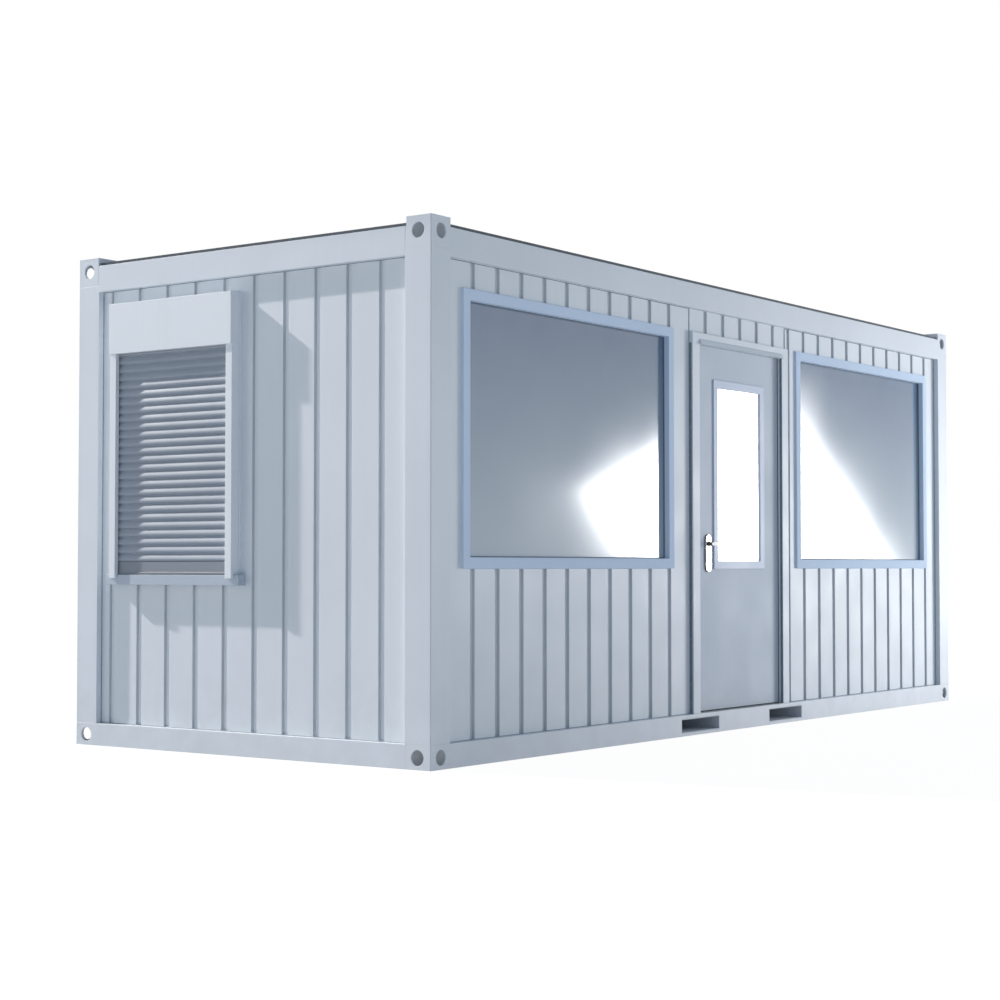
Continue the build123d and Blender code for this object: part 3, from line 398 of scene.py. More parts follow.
def painted_fold_shade(tree, place, base, faces):
    """Painted shade in patches on the flanks of the sheets' folds, between the outer faces and the folds'
    bottoms.
    """
    half, clear = FOLD_DEPTH / 2, 0.5 * MM
    mirrored = add_node(tree, "ShaderNodeVectorMath", {0: place}, operation="ABSOLUTE").outputs[0]
    parts = add_node(tree, "ShaderNodeSeparateXYZ", {0: mirrored})
    flanks = [
        add_node(tree, "ShaderNodeMath", {0: parts.outputs[axis], 1: face - half, 2: half - clear},
                 operation="COMPARE").outputs[0]
        for axis, face in enumerate(faces)
    ]
    fold = add_node(tree, "ShaderNodeMath", {0: flanks[0], 1: flanks[1]}, operation="MAXIMUM").outputs[0]
    share = add_node(tree, "ShaderNodeMath", {0: fold, 1: patches(tree, place, 0.2, 0.34, 0.46)},
                     operation="MULTIPLY").outputs[0]
    return add_node(tree, "ShaderNodeMix", {
        0: share, 6: base, 7: hex_colour("#7A828C"),
    }, data_type="RGBA").outputs[2]


def worn_edges(tree, place, base, colour, wear):
    """Paint rubbed thin on the edges, and a small rounding that catches the light there."""
    rounding, turned_little, turned_far = 4 * MM, 0.985, 0.80
    rounded = add_node(tree, "ShaderNodeBevel", {"Radius": rounding}, samples=4).outputs[0]
    true = add_node(tree, "ShaderNodeNewGeometry").outputs["Normal"]
    turn = add_node(tree, "ShaderNodeVectorMath", {0: rounded, 1: true},
                    operation="DOT_PRODUCT").outputs["Value"]
    edge = add_node(tree, "ShaderNodeMapRange", {
        "Value": turn, "From Min": turned_little, "From Max": turned_far, "To Min": 0.0, "To Max": wear,
    }).outputs[0]
    rub = add_node(tree, "ShaderNodeMath", {0: edge, 1: patches(tree, place, 50 * MM, edge=(0.45, 0.6))},
                   operation="MULTIPLY").outputs[0]
    mixed = add_node(tree, "ShaderNodeMix", {0: rub, 6: base, 7: shade_of(colour, 1.12)}, data_type="RGBA")
    return mixed.outputs[2], rounded


def orange_peel(tree, place, normal, depth, wave):
    """The skin of a sprayed coat on slightly wavy sheet, as a normal."""
    sheet = add_node(tree, "ShaderNodeBump", {
        "Height": patches(tree, place, 0.35, detail=1.0), "Normal": normal,
        "Strength": 0.5, "Distance": wave,
    }).outputs[0]
    return add_node(tree, "ShaderNodeBump", {
        "Height": patches(tree, place, 6 * MM, detail=2.0), "Normal": sheet,
        "Strength": 0.35, "Distance": depth,
    }).outputs[0]


def white_inside(tree, place, base, reach):
    """White laminate in place of the coat on faces nearer to the middle than the reach."""
    mirrored = add_node(tree, "ShaderNodeVectorMath", {0: place}, operation="ABSOLUTE").outputs[0]
    parts = add_node(tree, "ShaderNodeSeparateXYZ", {0: mirrored})
    near = [
        add_node(tree, "ShaderNodeMath", {0: parts.outputs[axis], 1: limit}, operation="LESS_THAN").outputs[0]
        for axis, limit in enumerate(reach)
    ]
    inside = add_node(tree, "ShaderNodeMath", {0: near[0], 1: near[1]}, operation="MULTIPLY").outputs[0]
    return add_node(tree, "ShaderNodeMix", {
        0: inside, 6: base, 7: hex_colour("#E4E4E0"),
    }, data_type="RGBA").outputs[2]


def coated_metal(name, colour, roughness, finish, drift=0.02, peel=0.12 * MM, wave=0.0, dirt=False,
                 wall_sheet=False, ior=1.5):
    """Paint on metal: slow drift of tone, orange peel and rubbed edges, and dust at the foot if dirty.

    A wall sheet also has painted shade on the flanks of its folds, and white laminate on its room side.
    """
    material, tree, shader, place = start_material(name)
    base = drifting_tone(tree, place, colour, drift)
    if dirt:
        base = dusty_foot(tree, place, base, finish.dirt)
    if wall_sheet:
        # Painted shade: a darker grey on the flanks of the folds.
        base = painted_fold_shade(tree, place, base, (span("gable_wall_right")[1].x, span("rear_wall")[1].y))
    base, rounded = worn_edges(tree, place, base, colour, finish.wear)
    if wall_sheet:
        base = white_inside(tree, place, base, ROOM_REACH)
    feed(tree, shader, {
        "Base Color": base, "IOR": ior, "Normal": orange_peel(tree, place, rounded, peel, wave),
        "Roughness": patches(tree, place, 0.25, roughness - 0.04, roughness + 0.05),
    })
    return material


def glass_with_painted_reflection(name, low, high, top_colour, foot_colour, clear):
    """Glass that mirrors its surroundings and hides the room, with a painted reflection in its base colour:
    pale at the foot, slate at the top.
    """
    material, tree, shader, place = start_material(name)
    height = add_node(tree, "ShaderNodeSeparateXYZ", {0: place}).outputs["Z"]
    rise = add_node(tree, "ShaderNodeMapRange", {
        "Value": height, "From Min": low, "From Max": high,
    }).outputs[0]
    # Painted reflection: the base colour runs from the foot colour up to the top colour.
    base = add_node(tree, "ShaderNodeMix", {
        0: rise, 6: foot_colour, 7: top_colour,
    }, data_type="RGBA").outputs[2]
    base = add_node(tree, "ShaderNodeMix", {
        0: patches(tree, place, 0.4, 0, 0.08), 6: base, 7: foot_colour,
    }, data_type="RGBA").outputs[2]
    ripple = add_node(tree, "ShaderNodeBump", {
        "Height": patches(tree, place, 0.5, detail=1.0), "Strength": 0.25, "Distance": 0.6 * MM,
    }).outputs[0]
    feed(tree, shader, {
        "Base Color": base, "Roughness": patches(tree, place, 0.5, 0.09, 0.12), "Normal": ripple,
        "IOR": 1.9, "Transmission Weight": clear,
    })
    return material


def mirror_film(name):
    """A one-way film on the door's pane: it throws nearly all light back, softly."""
    material, tree, shader, place = start_material(name)
    film = add_node(tree, "ShaderNodeMix", {
        0: patches(tree, place, 0.3), 6: hex_colour("#F6F8FA"), 7: hex_colour("#FEFEFE"),
    }, data_type="RGBA").outputs[2]
    feed(tree, shader, {
        "Base Color": film, "Roughness": patches(tree, place, 0.4, 0.10, 0.16), "Metallic": 0.94,
    })
    return material


def soft_rubber(name, colour):
    """Rubber or sealant: matt, a little dusty along its lips."""
    material, tree, shader, place = start_material(name)
    base = add_node(tree, "ShaderNodeMix", {
        0: patches(tree, place, 20 * MM, 0, 0.35, (0.45, 0.75), 4.0), 6: colour, 7: shade_of(colour, 2.2),
    }, data_type="RGBA").outputs[2]
    pores = add_node(tree, "ShaderNodeBump", {
        "Height": patches(tree, place, 4 * MM, detail=2.0), "Strength": 0.4, "Distance": 0.3 * MM,
    }).outputs[0]
    feed(tree, shader, {"Base Color": base, "Roughness": 0.7, "IOR": 1.52, "Normal": pores})
    return material


def zinc_coat(name):
    """Hot dip galvanised sheet: spangles of about 30 mm that catch the light differently."""
    material, tree, shader, place = start_material(name)
    spangle = 30 * MM
    cells = add_node(tree, "ShaderNodeTexVoronoi", {"Vector": place, "Scale": 1 / spangle})
    value = add_node(tree, "ShaderNodeSeparateColor", {0: cells.outputs["Color"]}).outputs[0]
    base = add_node(tree, "ShaderNodeMix", {
        0: value, 6: hex_colour("#A9AFB5"), 7: hex_colour("#C6CACE"),
    }, data_type="RGBA").outputs[2]
    base = add_node(tree, "ShaderNodeMix", {
        0: patches(tree, place, 0.4, 0, 0.5, (0.4, 0.7), 4.0), 6: base, 7: hex_colour("#9AA0A5"),
    }, data_type="RGBA").outputs[2]
    glint = add_node(tree, "ShaderNodeMapRange", {
        "Value": value, "To Min": 0.38, "To Max": 0.58,
    }).outputs[0]
    facets = add_node(tree, "ShaderNodeBump", {
        "Height": value, "Strength": 0.25, "Distance": 0.4 * MM,
    }).outputs[0]
    feed(tree, shader, {"Base Color": base, "Roughness": glint, "Metallic": 0.85, "Normal": facets})
    return material


def worked_metal(name, colour, roughness, stretch, line=2 * MM, depth=0.05 * MM):
    """Bare metal with the fine parallel marks of its working: drawn, brushed or polished."""
    material, tree, shader, place = start_material(name)
    marks = patches(tree, place, line, stretch=stretch)
    base = add_node(tree, "ShaderNodeMix", {
        0: marks, 6: shade_of(colour, 0.93), 7: colour,
    }, data_type="RGBA").outputs[2]
    lines = add_node(tree, "ShaderNodeBump", {"Height": marks, "Strength": 0.3, "Distance": depth}).outputs[0]
    feed(tree, shader, {
        "Base Color": base, "Roughness": patches(tree, place, 30 * MM, roughness, roughness * 1.4),
        "Metallic": 1.0, "Normal": lines,
    })
    return material


def moulded_plastic(name, colour, roughness):
    """Extruded or moulded plastic: even colour with a fine matt grain."""
    material, tree, shader, place = start_material(name)
    base = add_node(tree, "ShaderNodeMix", {
        0: patches(tree, place, 0.3), 6: shade_of(colour, 0.97), 7: shade_of(colour, 1.02),
    }, data_type="RGBA").outputs[2]
    pores = add_node(tree, "ShaderNodeBump", {
        "Height": patches(tree, place, 3 * MM, detail=2.0), "Strength": 0.3, "Distance": 0.1 * MM,
    }).outputs[0]
    feed(tree, shader, {
        "Base Color": base, "Roughness": patches(tree, place, 0.2, roughness, roughness + 0.08),
        "IOR": 1.54, "Normal": pores,
    })
    return material


def vinyl_sheet(name):
    """Sheet vinyl on board: warm grey with dark and pale specks a few millimetres wide."""
    material, tree, shader, place = start_material(name)
    base = add_node(tree, "ShaderNodeMix", {
        0: patches(tree, place, 6 * MM, edge=(0.55, 0.62), detail=2.0),
        6: hex_colour("#8A8780"), 7: hex_colour("#6E6C66"),
    }, data_type="RGBA").outputs[2]
    base = add_node(tree, "ShaderNodeMix", {
        0: patches(tree, place, 9 * MM, 0, 0.8, (0.60, 0.66), 2.0), 6: base, 7: hex_colour("#A9A69E"),
    }, data_type="RGBA").outputs[2]
    grain = add_node(tree, "ShaderNodeBump", {
        "Height": patches(tree, place, 10 * MM, detail=2.0), "Strength": 0.3, "Distance": 0.3 * MM,
    }).outputs[0]
    feed(tree, shader, {
        "Base Color": base, "Roughness": patches(tree, place, 0.3, 0.38, 0.55), "Normal": grain,
    })
    return material


def make_finishes(finish):
    """Every material of the cabin, by its slot."""
    return {
        # Two pack enamel sprayed on welded steel: satin, with orange peel and soft edges.
        "frame_paint": coated_metal("sprayed_enamel", finish.frame_colour, 0.46, finish, 0.03,
                                    wave=1.2 * MM, dirt=True),
        # Coil coated galvanised sheet: flatter than spray, with slow waves from the rolls.
        "panel_paint": coated_metal("coil_coat", finish.panel_colour, 0.50, finish, 0.022, 0.05 * MM,
                                    wave=1.2 * MM, dirt=True, wall_sheet=True),
        # Powder coated aluminium: bluish and quite matt, with a tight grain.
        "window_paint": coated_metal("blue_powder_coat", finish.window_colour, 0.85, finish, ior=1.3),
        # Powder coated steel of the door frame.
        "door_paint": coated_metal("powder_coat", finish.door_colour, 0.50, finish, wave=1.2 * MM, dirt=True),
        # Rolled aluminium with a baked coat.
        "shutter_paint": coated_metal("baked_coat", finish.shutter_colour, 0.48, finish),
        # Folded sill in painted shade: its coat is a tone deeper than the shutter's, to stand in for the
        # shadow on it.
        "sill_metal": coated_metal("sill_painted_shade", finish.sill_shaded_colour, 0.5, finish),
        # Roll formed slats, matt from weather.
        "slat_plastic": coated_metal("slat_coat", finish.slat_colour, 0.6, finish, 0.03),
        # Glass with a painted reflection: slate towards the top, paler at the foot, as if it mirrored pale
        # ground.
        "window_glass": glass_with_painted_reflection("glass_with_painted_reflection", 1.0, 2.2, hex_colour("#637D9A"), hex_colour("#B3C2CD"),
                                    clear=0.08),
        # One-way film: it looks wholly white in daylight.
        "door_glass": mirror_film("one_way_film"),
        # Black rubber of seals, dulled by dust.
        "seal": soft_rubber("epdm_seal", hex_colour("#3A444E")),
        # Sealing strip round the roof, a little greyer.
        "roof_seal": soft_rubber("roof_strip", hex_colour("#4A525A")),
        # Zinc sheet of the roof: grey, with spangles and dull patches.
        "galvanised": zinc_coat("galvanised_sheet"),
        # Polished chrome plate: mirror bright, with hairlines from wiping.
        "handle_metal": worked_metal("chrome_plate", hex_colour("#F4F6F8"), 0.07, (1, 1, 12),
                                     4 * MM, 0.01 * MM),
        # Zinc plated hinges and screws: a soft grey shine.
        "hinge_metal": worked_metal("zinc_plate", hex_colour("#B5B8BB"), 0.34, (1, 1, 8)),
        # Nickel plated lock: warmer and duller than the chrome.
        "cylinder_metal": worked_metal("satin_nickel", hex_colour("#B9B2A4"), 0.28, (8, 8, 1), 1 * MM),
        # Threshold of drawn aluminium, dulled by shoes.
        "aluminium": worked_metal("worn_aluminium", hex_colour("#7C8388"), 0.55, (0.02, 1, 1)),
        # Extruded white window plastic: even, with a faint gloss.
        "window_plastic": moulded_plastic("white_upvc", hex_colour("#E9EAE8"), 0.35),
        # Speckled vinyl of the floor, with a soft shine.
        "deck_board": vinyl_sheet("vinyl_sheet"),
        # White laminate of the ceiling: even and matt.
        "ceiling_board": moulded_plastic("white_laminate", hex_colour("#E6E6E2"), 0.5),
        # Black nylon of the levers' bearing sleeves; the same black serves as painted reflection across the
        # handle plates and as painted shade round them.
        "sleeve": moulded_plastic("black_nylon_painted_reflection_and_shade", hex_colour("#15171A"), 0.35),
        # Sealant in the corners round the wall sheets, its grey made dark as painted shade for the shade line
        # along the corners.
        "sealant": soft_rubber("corner_sealant_painted_shade", hex_colour("#7E8A96")),
        # Grey joint sealant beside the door frame.
        "joint": soft_rubber("joint_sealant", hex_colour("#6B7884")),
        # Grey gaskets round the big panes, paler than the door's rubber.
        "gasket": soft_rubber("grey_gasket", hex_colour("#5D6C7C")),
        # White coat inside the castings as painted light: it makes their holes look pale, as if light came
        # through them.
        "hole_light_coat": coated_metal("white_painted_hole_light", hex_colour("#F1F3F3"), 0.7, finish, 0.01),
        # Bottom bar of the shutter in painted shade: the slats' coat a tone deeper.
        "bar": coated_metal("bar_painted_shade", shade_of(finish.slat_colour, 0.72), 0.6, finish, 0.03),
        # The door light's profile: paler than the windows' flanges.
        "light_frame": coated_metal("pale_powder_coat", finish.light_colour, 0.5, finish),
        # The leaf's own coat: a flat matt sheet, deeper than its frame.
        "leaf": coated_metal("leaf_coat", finish.leaf_colour, 0.62, finish, peel=0.05 * MM, dirt=True),
    }


FINISH = {}


# ---------------------------------------------------------------- operators

def span(node):
    """Lowest and highest corner of a CAD node at rest."""
    low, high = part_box(node)
    return Vector(low), Vector(high)


def upright_ring(low, high, axis, place):
    """A closed path round an upright rectangle that lies across an axis, at a place on it."""
    along = 1 - axis
    ring = [(low[along], low.z), (high[along], low.z), (high[along], high.z), (low[along], high.z)]
    return [(place, u, z) if axis == 0 else (u, place, z) for u, z in ring]


class CABIN_OT_finishes(bpy.types.Operator):
    """Give every CAD node the finish of its slot"""
    bl_idname = "cabin.finishes"
    bl_label = "Finish the Cabin"

    def execute(self, context):
        FINISH.update(make_finishes(context.scene.cabin_finish))
        for part in frame["record"]["subparts"]:
            node = frame["nodes"][part["node"]]
            node.data.materials.clear()
            node.data.materials.append(FINISH[part["material_slot"]])
        own_finishes = {"door_leaf": "leaf", "door_light_frame": "light_frame", "window_seals": "gasket"}
        for name, finish in own_finishes.items():
            own = frame["nodes"][name].data.materials
            own.clear()
            own.append(FINISH[finish])
        return {"FINISHED"}


class CABIN_OT_slats(bpy.types.Operator):
    """Hang the roller shutter's slats and its bottom bar"""
    bl_idname = "cabin.slats"
    bl_label = "Hang the Slats"

    def execute(self, context):
        trim = context.scene.cabin_trim
        low, high = span("shutter_curtain")
        bar_height = 70 * MM
        depth = high.x - low.x
        count = round((high.z - low.z - bar_height) / trim.slat_pitch)
        pitch = (high.z - low.z - bar_height) / count
        slat = bpy.data.objects.new("slat", mesh_of(
            lambda shape: self.add_slat(shape, low, high, low.z + bar_height, pitch, depth, trim.slat_web)))
        values = {"Count": count, "Step": (0, 0, pitch), "Material": FINISH["slat_plastic"]}
        piece = dress("shutter_slats", grown(slat, stack_group(), values), "cabin", "slat_plastic")
        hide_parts("shutter_curtain")
        bar = mesh_of(lambda shape: self.add_bar(shape, low, high, bar_height, depth))
        # The bar's darker coat is painted shade.
        dress("shutter_bottom_bar", bar, "cabin", "slat_plastic", "bar")
        return {"FINISHED"}

    def add_slat(self, shape, low, high, base, pitch, depth, web):
        """One slat: bulged low down, thinner upwards, with a hooked hinge recess at its top."""
        bulge_height, steps, skew, lean = 0.84 * pitch, 12, 0.6, 0.18
        outline = [(high.x, base)]
        for step in range(steps + 1):
            share = step / steps
            rise = math.sin(math.pi * share ** skew)
            front = web + (depth - web) * rise + lean * (depth - web) * share * (1 - rise)
            outline.append((high.x - front, base + share * bulge_height))
        outline += [(high.x - web, base + bulge_height), (high.x - web, base + pitch), (high.x, base + pitch)]
        rings = [[(x, y, z) for x, z in outline] for y in (low.y, high.y)]
        add_loft(shape, rings)

    def add_bar(self, shape, low, high, height, depth):
        """The bottom bar: a flat rail with a drip lip."""
        lip_low, lip_high = low.z + 3 * MM, low.z + 13 * MM
        add_box(shape, (high.x - 0.75 * depth, low.y, low.z), (high.x, high.y, low.z + height), 1.2 * MM)
        add_box(shape, (low.x, low.y, lip_low), (high.x - 0.5 * depth, high.y, lip_high), 1.5 * MM)


class CABIN_OT_levers(bpy.types.Operator):
    """Shape both chrome levers, their black bases and sleeves, and the keyholes, with painted shade round the
    plates and in the keyholes and a painted reflection across the plates
    """
    bl_idname = "cabin.levers"
    bl_label = "Shape the Levers"

    def execute(self, context):
        low, high = span("lever_handles")
        plate_low, plate_high = span("handle_plates")
        middle_z = (low.z + high.z) / 2
        half_height = (high.z - low.z) / 2
        pivot_x = low.x + half_height
        thickness = 16 * MM

        def build(shape):
            for outer, seat, way in ((low.y, plate_low.y, -1), (high.y, plate_high.y, 1)):
                self.add_lever(shape, pivot_x, high.x, middle_z, outer, seat, way, half_height, thickness)

        piece = dress("chrome_levers", mesh_of(build), "door_handle", "handle_metal", smooth=True)
        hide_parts("lever_handles")

        # Painted shade: black rims behind the plates.
        bases = mesh_of(lambda shape: [
            self.add_shade_rim(shape, plate_low, plate_high, plate_face, way)
            for plate_face, way in ((plate_low.y, -1), (plate_high.y, 1))
        ])
        dress("plate_shade_rims", bases, "door", "seal", "sleeve")

        def build_sleeves(shape):
            inset, proud, half_reflection_band = 1.5 * MM, 1 * MM, 12 * MM
            for seat, way in ((plate_low.y, -1), (plate_high.y, 1)):
                self.add_sleeve(shape, pivot_x, middle_z, seat, way)
                # Painted reflection: a black band across the plate stands in for the neck's dark reflection
                # in the chrome.
                near, far = sorted((seat - way * proud, seat + way * proud))
                add_box(shape, (plate_low.x + inset, near, middle_z - half_reflection_band),
                        (plate_high.x - inset, far, middle_z + half_reflection_band), 0.6 * MM)

        sleeves = mesh_of(build_sleeves)
        dress("sleeves_and_painted_reflection", sleeves, "door", "seal", "sleeve", True)
        lock_low, lock_high = span("lock_cylinder")
        key_x = (lock_low.x + lock_high.x) / 2
        key_z = lock_high.z - 8.5 * MM
        half_wide, bite, half_tall = 1.1 * MM, 0.3 * MM, 4.5 * MM
        # Painted shade: a thin dark slab on each face of the cylinder stands in for the shaded keyhole.
        slots = [
            ((key_x - half_wide, y - bite, key_z - half_tall),
             (key_x + half_wide, y + bite, key_z + half_tall))
            for y in (lock_low.y, lock_high.y)
        ]
        dress("keyholes", boxes_mesh(slots), "door", "seal")
        return {"FINISHED"}

    def add_shade_rim(self, shape, low, high, face, way):
        """A black base that shows as a dark edge behind the rounded plate: painted shade at the plate's edge.
        """
        past, front, back, around = 0.8 * MM, 4 * MM, 12 * MM, 16
        radius = (high.x - low.x) / 2 + past
        x = (low.x + high.x) / 2
        outline = []
        for middle, start in ((high.z + past - radius, 0), (low.z - past + radius, math.pi)):
            for i in range(around + 1):
                turn = start + math.pi * i / around
                outline.append((x + radius * math.cos(turn), middle + radius * math.sin(turn)))
        add_loft(shape, [[(u, face - way * depth, v) for u, v in outline] for depth in (front, back)])

    def add_sleeve(self, shape, x, z, seat, way):
        """A black ring round the lever's neck, with a low collar on the plate. Its length along the neck also
        stands in for the neck's dark reflection.
        """
        bore, sleeve, collar, reach, around = 10.6 * MM, 12.5 * MM, 15 * MM, 26 * MM, 32
        rim, foot = 2.5 * MM, 4 * MM
        profile = [(bore, 0), (collar, 0), (collar, rim), (sleeve, foot), (sleeve, reach), (bore, reach)]
        turns = [2 * math.pi * i / around for i in range(around)]
        add_loft(shape, [
            [(x + radius * math.cos(turn), seat + way * out, z + radius * math.sin(turn)) for turn in turns]
            for radius, out in profile
        ], hollow=True)

    def add_lever(self, shape, pivot_x, end_x, z, outer, seat, way, half_height, thickness):
        """A round neck that bends into a flat oval bar with a rounded end."""
        bend, neck_radius, sunk, blunt = 22 * MM, 10 * MM, 5 * MM, 0.35
        steps, around = 8, 24
        bar_y = outer - way * thickness / 2
        stations = [
            ((pivot_x, seat - way * sunk), 0.0, neck_radius, neck_radius),
            ((pivot_x, bar_y - way * bend), 0.0, neck_radius, neck_radius),
        ]
        for step in range(1, steps + 1):
            share = step / steps
            angle = share * math.pi / 2
            place = (pivot_x + bend * (1 - math.cos(angle)), bar_y - way * bend * (1 - math.sin(angle)))
            stations.append((place, angle, neck_radius + share * (thickness / 2 - neck_radius),
                             neck_radius + share * (half_height - neck_radius)))
        stop = end_x - half_height
        stations.append(((stop, bar_y), math.pi / 2, thickness / 2, half_height))
        for step in range(1, steps):
            angle = step / steps * math.pi / 2
            half_thick = thickness / 2 * (blunt + (1 - blunt) * math.cos(angle))
            stations.append(((stop + half_height * math.sin(angle), bar_y), math.pi / 2, half_thick,
                             half_height * math.cos(angle)))
        rings = []
        for (x, y), angle, half_width, half_tall in stations:
            side = (math.cos(angle), -way * math.sin(angle))
            rings.append([
                (x + side[0] * half_width * math.cos(turn), y + side[1] * half_width * math.cos(turn),
                 z + half_tall * math.sin(turn))
                for turn in (2 * math.pi * i / around for i in range(around))
            ])
        add_loft(shape, rings)


class CABIN_OT_seals(bpy.types.Operator):
    """Lay the sealant beads, the door's rubber seal and its joint strips"""
    bl_idname = "cabin.seals"
    bl_label = "Lay the Seals"

    def execute(self, context):
        trim = context.scene.cabin_trim
        values = {"Radius": trim.bead_radius, "Uneven": 0.6 * MM, "Material": FINISH["sealant"]}
        group = bead_group()
        # The axis that each wall sheet lies across, and which corner of its box is on its outer face.
        walls = (("gable_wall_left", 0, 0), ("gable_wall_right", 0, 1), ("rear_wall", 1, 1),
                 ("front_wall_left", 1, 0), ("front_wall_right", 1, 0))
        paths = []
        for wall, axis, outer in walls:
            corners = span(wall)
            paths.append(upright_ring(*corners, axis, corners[outer][axis]))
        beads = grown(path_object("corner_beads", paths), group, values)
        # The beads' dark grey is partly painted shade along the corners.
        dress("corner_sealant_painted_shade", beads, "cabin", "seal", "sealant", True)
        windows, set_back = (span("window_frame_left"), span("window_frame_right")), 13 * MM
        around = [upright_ring(low, high, 1, low.y + set_back) for low, high in windows]
        values = {"Radius": 0.7 * trim.bead_radius, "Uneven": 0.4 * MM, "Material": FINISH["window_paint"]}
        beads = grown(path_object("window_beads", around), group, values)
        dress("window_sealant", beads, "cabin", "window_paint", smooth=True)
        self.hang_door_seal()
        self.fill_door_joints()
        return {"FINISHED"}

    def hang_door_seal(self):
        """A rubber lip on the frame's stop, just short of the closed leaf."""
        leaf_low, leaf_high = span("door_leaf")
        thick, wide, free = 3.6 * MM, 6 * MM, 1 * MM
        y_low, y_high = leaf_low.y - free - thick, leaf_low.y - free
        left, right, top = leaf_low.x + 1 * MM, leaf_high.x - 1 * MM, leaf_high.z - 1 * MM
        lips = [
            ((left, y_low, leaf_low.z), (left + wide, y_high, top)),
            ((right - wide, y_low, leaf_low.z), (right, y_high, top)),
            ((left + wide, y_low, top - wide), (right - wide, y_high, top)),
        ]
        dress("door_seal", boxes_mesh(lips), "cabin", "seal")

    def fill_door_joints(self):
        """Grey joint strips outside the jambs, and along both sides of the clear opening."""
        low, high = span("door_jambs")
        wall = span("front_wall_left")[0].y
        clear_low, clear_high = span("door_threshold")
        joint, proud, strip, soft = 3 * MM, 17 * MM, 2.5 * MM, 0.8 * MM
        near, far, foot = low.y + 3 * MM, low.y + 17 * MM, clear_high.z
        strips = [
            ((low.x - joint, wall - proud, low.z), (low.x, wall, high.z)),
            ((high.x, wall - proud, low.z), (high.x + joint, wall, high.z)),
            ((clear_high.x - strip, near, foot), (clear_high.x, far, high.z)),
            ((clear_low.x, near, foot), (clear_low.x + strip, far, high.z)),
        ]
        dress("door_joints", boxes_mesh(strips, soft), "cabin", "seal", "joint")


class CABIN_OT_welds(bpy.types.Operator):
    """Close the joints between the gables' top rails and the castings with flush ground welds"""
    bl_idname = "cabin.welds"
    bl_label = "Lay the Welds"

    def execute(self, context):
        # A grazing light turns even a millimetre's step into a black line, so the welds are flush.
        step, bite = 0.2 * MM, 0.5 * MM
        cast_low, cast_high = span("top_castings")
        casting_end = cast_high.y - CASTING_SIDE
        boxes = []
        for low, high in (span("top_rail_left"), span("top_rail_right")):
            for side in (-1, 1):
                near, far = sorted((side * (high.y - bite), side * (casting_end + bite)))
                boxes.append(((low.x + step, near, cast_low.z + step), (high.x - step, far, high.z - step)))
        dress("rail_welds", boxes_mesh(boxes), "cabin", "frame_paint")
        return {"FINISHED"}


class CABIN_OT_hole_light(bpy.types.Operator):
    """Coat the castings' inner webs, which show through their holes, in white, as painted light that makes
    the holes look pale
    """
    bl_idname = "cabin.primer"
    bl_label = "Prime the Castings"

    def execute(self, context):
        coat, bite = 1 * MM, 0.5 * MM
        levels = [(*span("bottom_castings"), 1), (*span("top_castings"), -1)]
        boxes = []
        for low, high, towards in levels:
            z_low, z_high = low.z + CASTING_WALL, high.z - CASTING_WALL
            web_z = z_high if towards > 0 else z_low
            web_x, web_y = (end - CASTING_SIDE + CASTING_WALL for end in (high.x, high.y))
            for way_x, way_y in ((-1, -1), (-1, 1), (1, -1), (1, 1)):
                web = Vector((way_x * web_x, way_y * web_y, web_z))
                far = Vector((way_x * (high.x - CASTING_WALL), way_y * (high.y - CASTING_WALL),
                              z_low + z_high - web_z))
                inwards = Vector((-way_x, -way_y, towards))
                for axis in range(3):
                    start, end = web.copy(), far.copy()
                    start[axis] = web[axis] + inwards[axis] * bite
                    end[axis] = web[axis] - inwards[axis] * coat
                    boxes.append(([min(pair) for pair in zip(start, end)],
                                  [max(pair) for pair in zip(start, end)]))
        # Painted light: white webs behind the holes.
        dress("casting_painted_hole_light", boxes_mesh(boxes), "cabin", "frame_paint", "hole_light_coat")
        return {"FINISHED"}


class CABIN_OT_fixings(bpy.types.Operator):
    """Set the screws of threshold, hinges and inner handle plate"""
    bl_idname = "cabin.fixings"
    bl_label = "Set the Screws"

    def execute(self, context):
        trim = context.scene.cabin_trim
        heads = head_group()
        values = {"Radius": trim.screw_radius, "Height": 2 * MM, "Material": FINISH["hinge_metal"]}
        low, high = span("door_threshold")
        shares, y = (0.06, 0.35, 0.65, 0.94), (low.y + high.y) / 2 + 12 * MM
        row = [(low.x + share * (high.x - low.x), y, high.z) for share in shares]
        self.place("threshold_screws", row, (0, 0, 1), "cabin", heads, values)
        low, high = span("handle_plates")
        middle, inset = (low.x + high.x) / 2, 14 * MM
        ends = [(middle, high.y, z) for z in (low.z + inset, high.z - inset)]
        self.place("plate_screws", ends, (0, 1, 0), "door", heads, values)
        low, high = span("hinges_on_leaf")
        hinge_tall, across, proud, rises = 48 * MM, 9 * MM, 3 * MM, (10 * MM, 38 * MM)
        x, y = low.x + across, span("door_leaf")[1].y + proud
        pitch = (high.z - low.z - hinge_tall) / 2
        holes = [(x, y, low.z + index * pitch + rise) for index in range(3) for rise in rises]
        self.place("hinge_screws", holes, (0, 1, 0), "door", heads, values)
        return {"FINISHED"}

    def place(self, name, places, facing, body, heads, values):
        """Screw heads at places that face one way."""
        mesh = grown(point_object(name, places, facing), heads, values)
        dress(name, mesh, body, "hinge_metal")


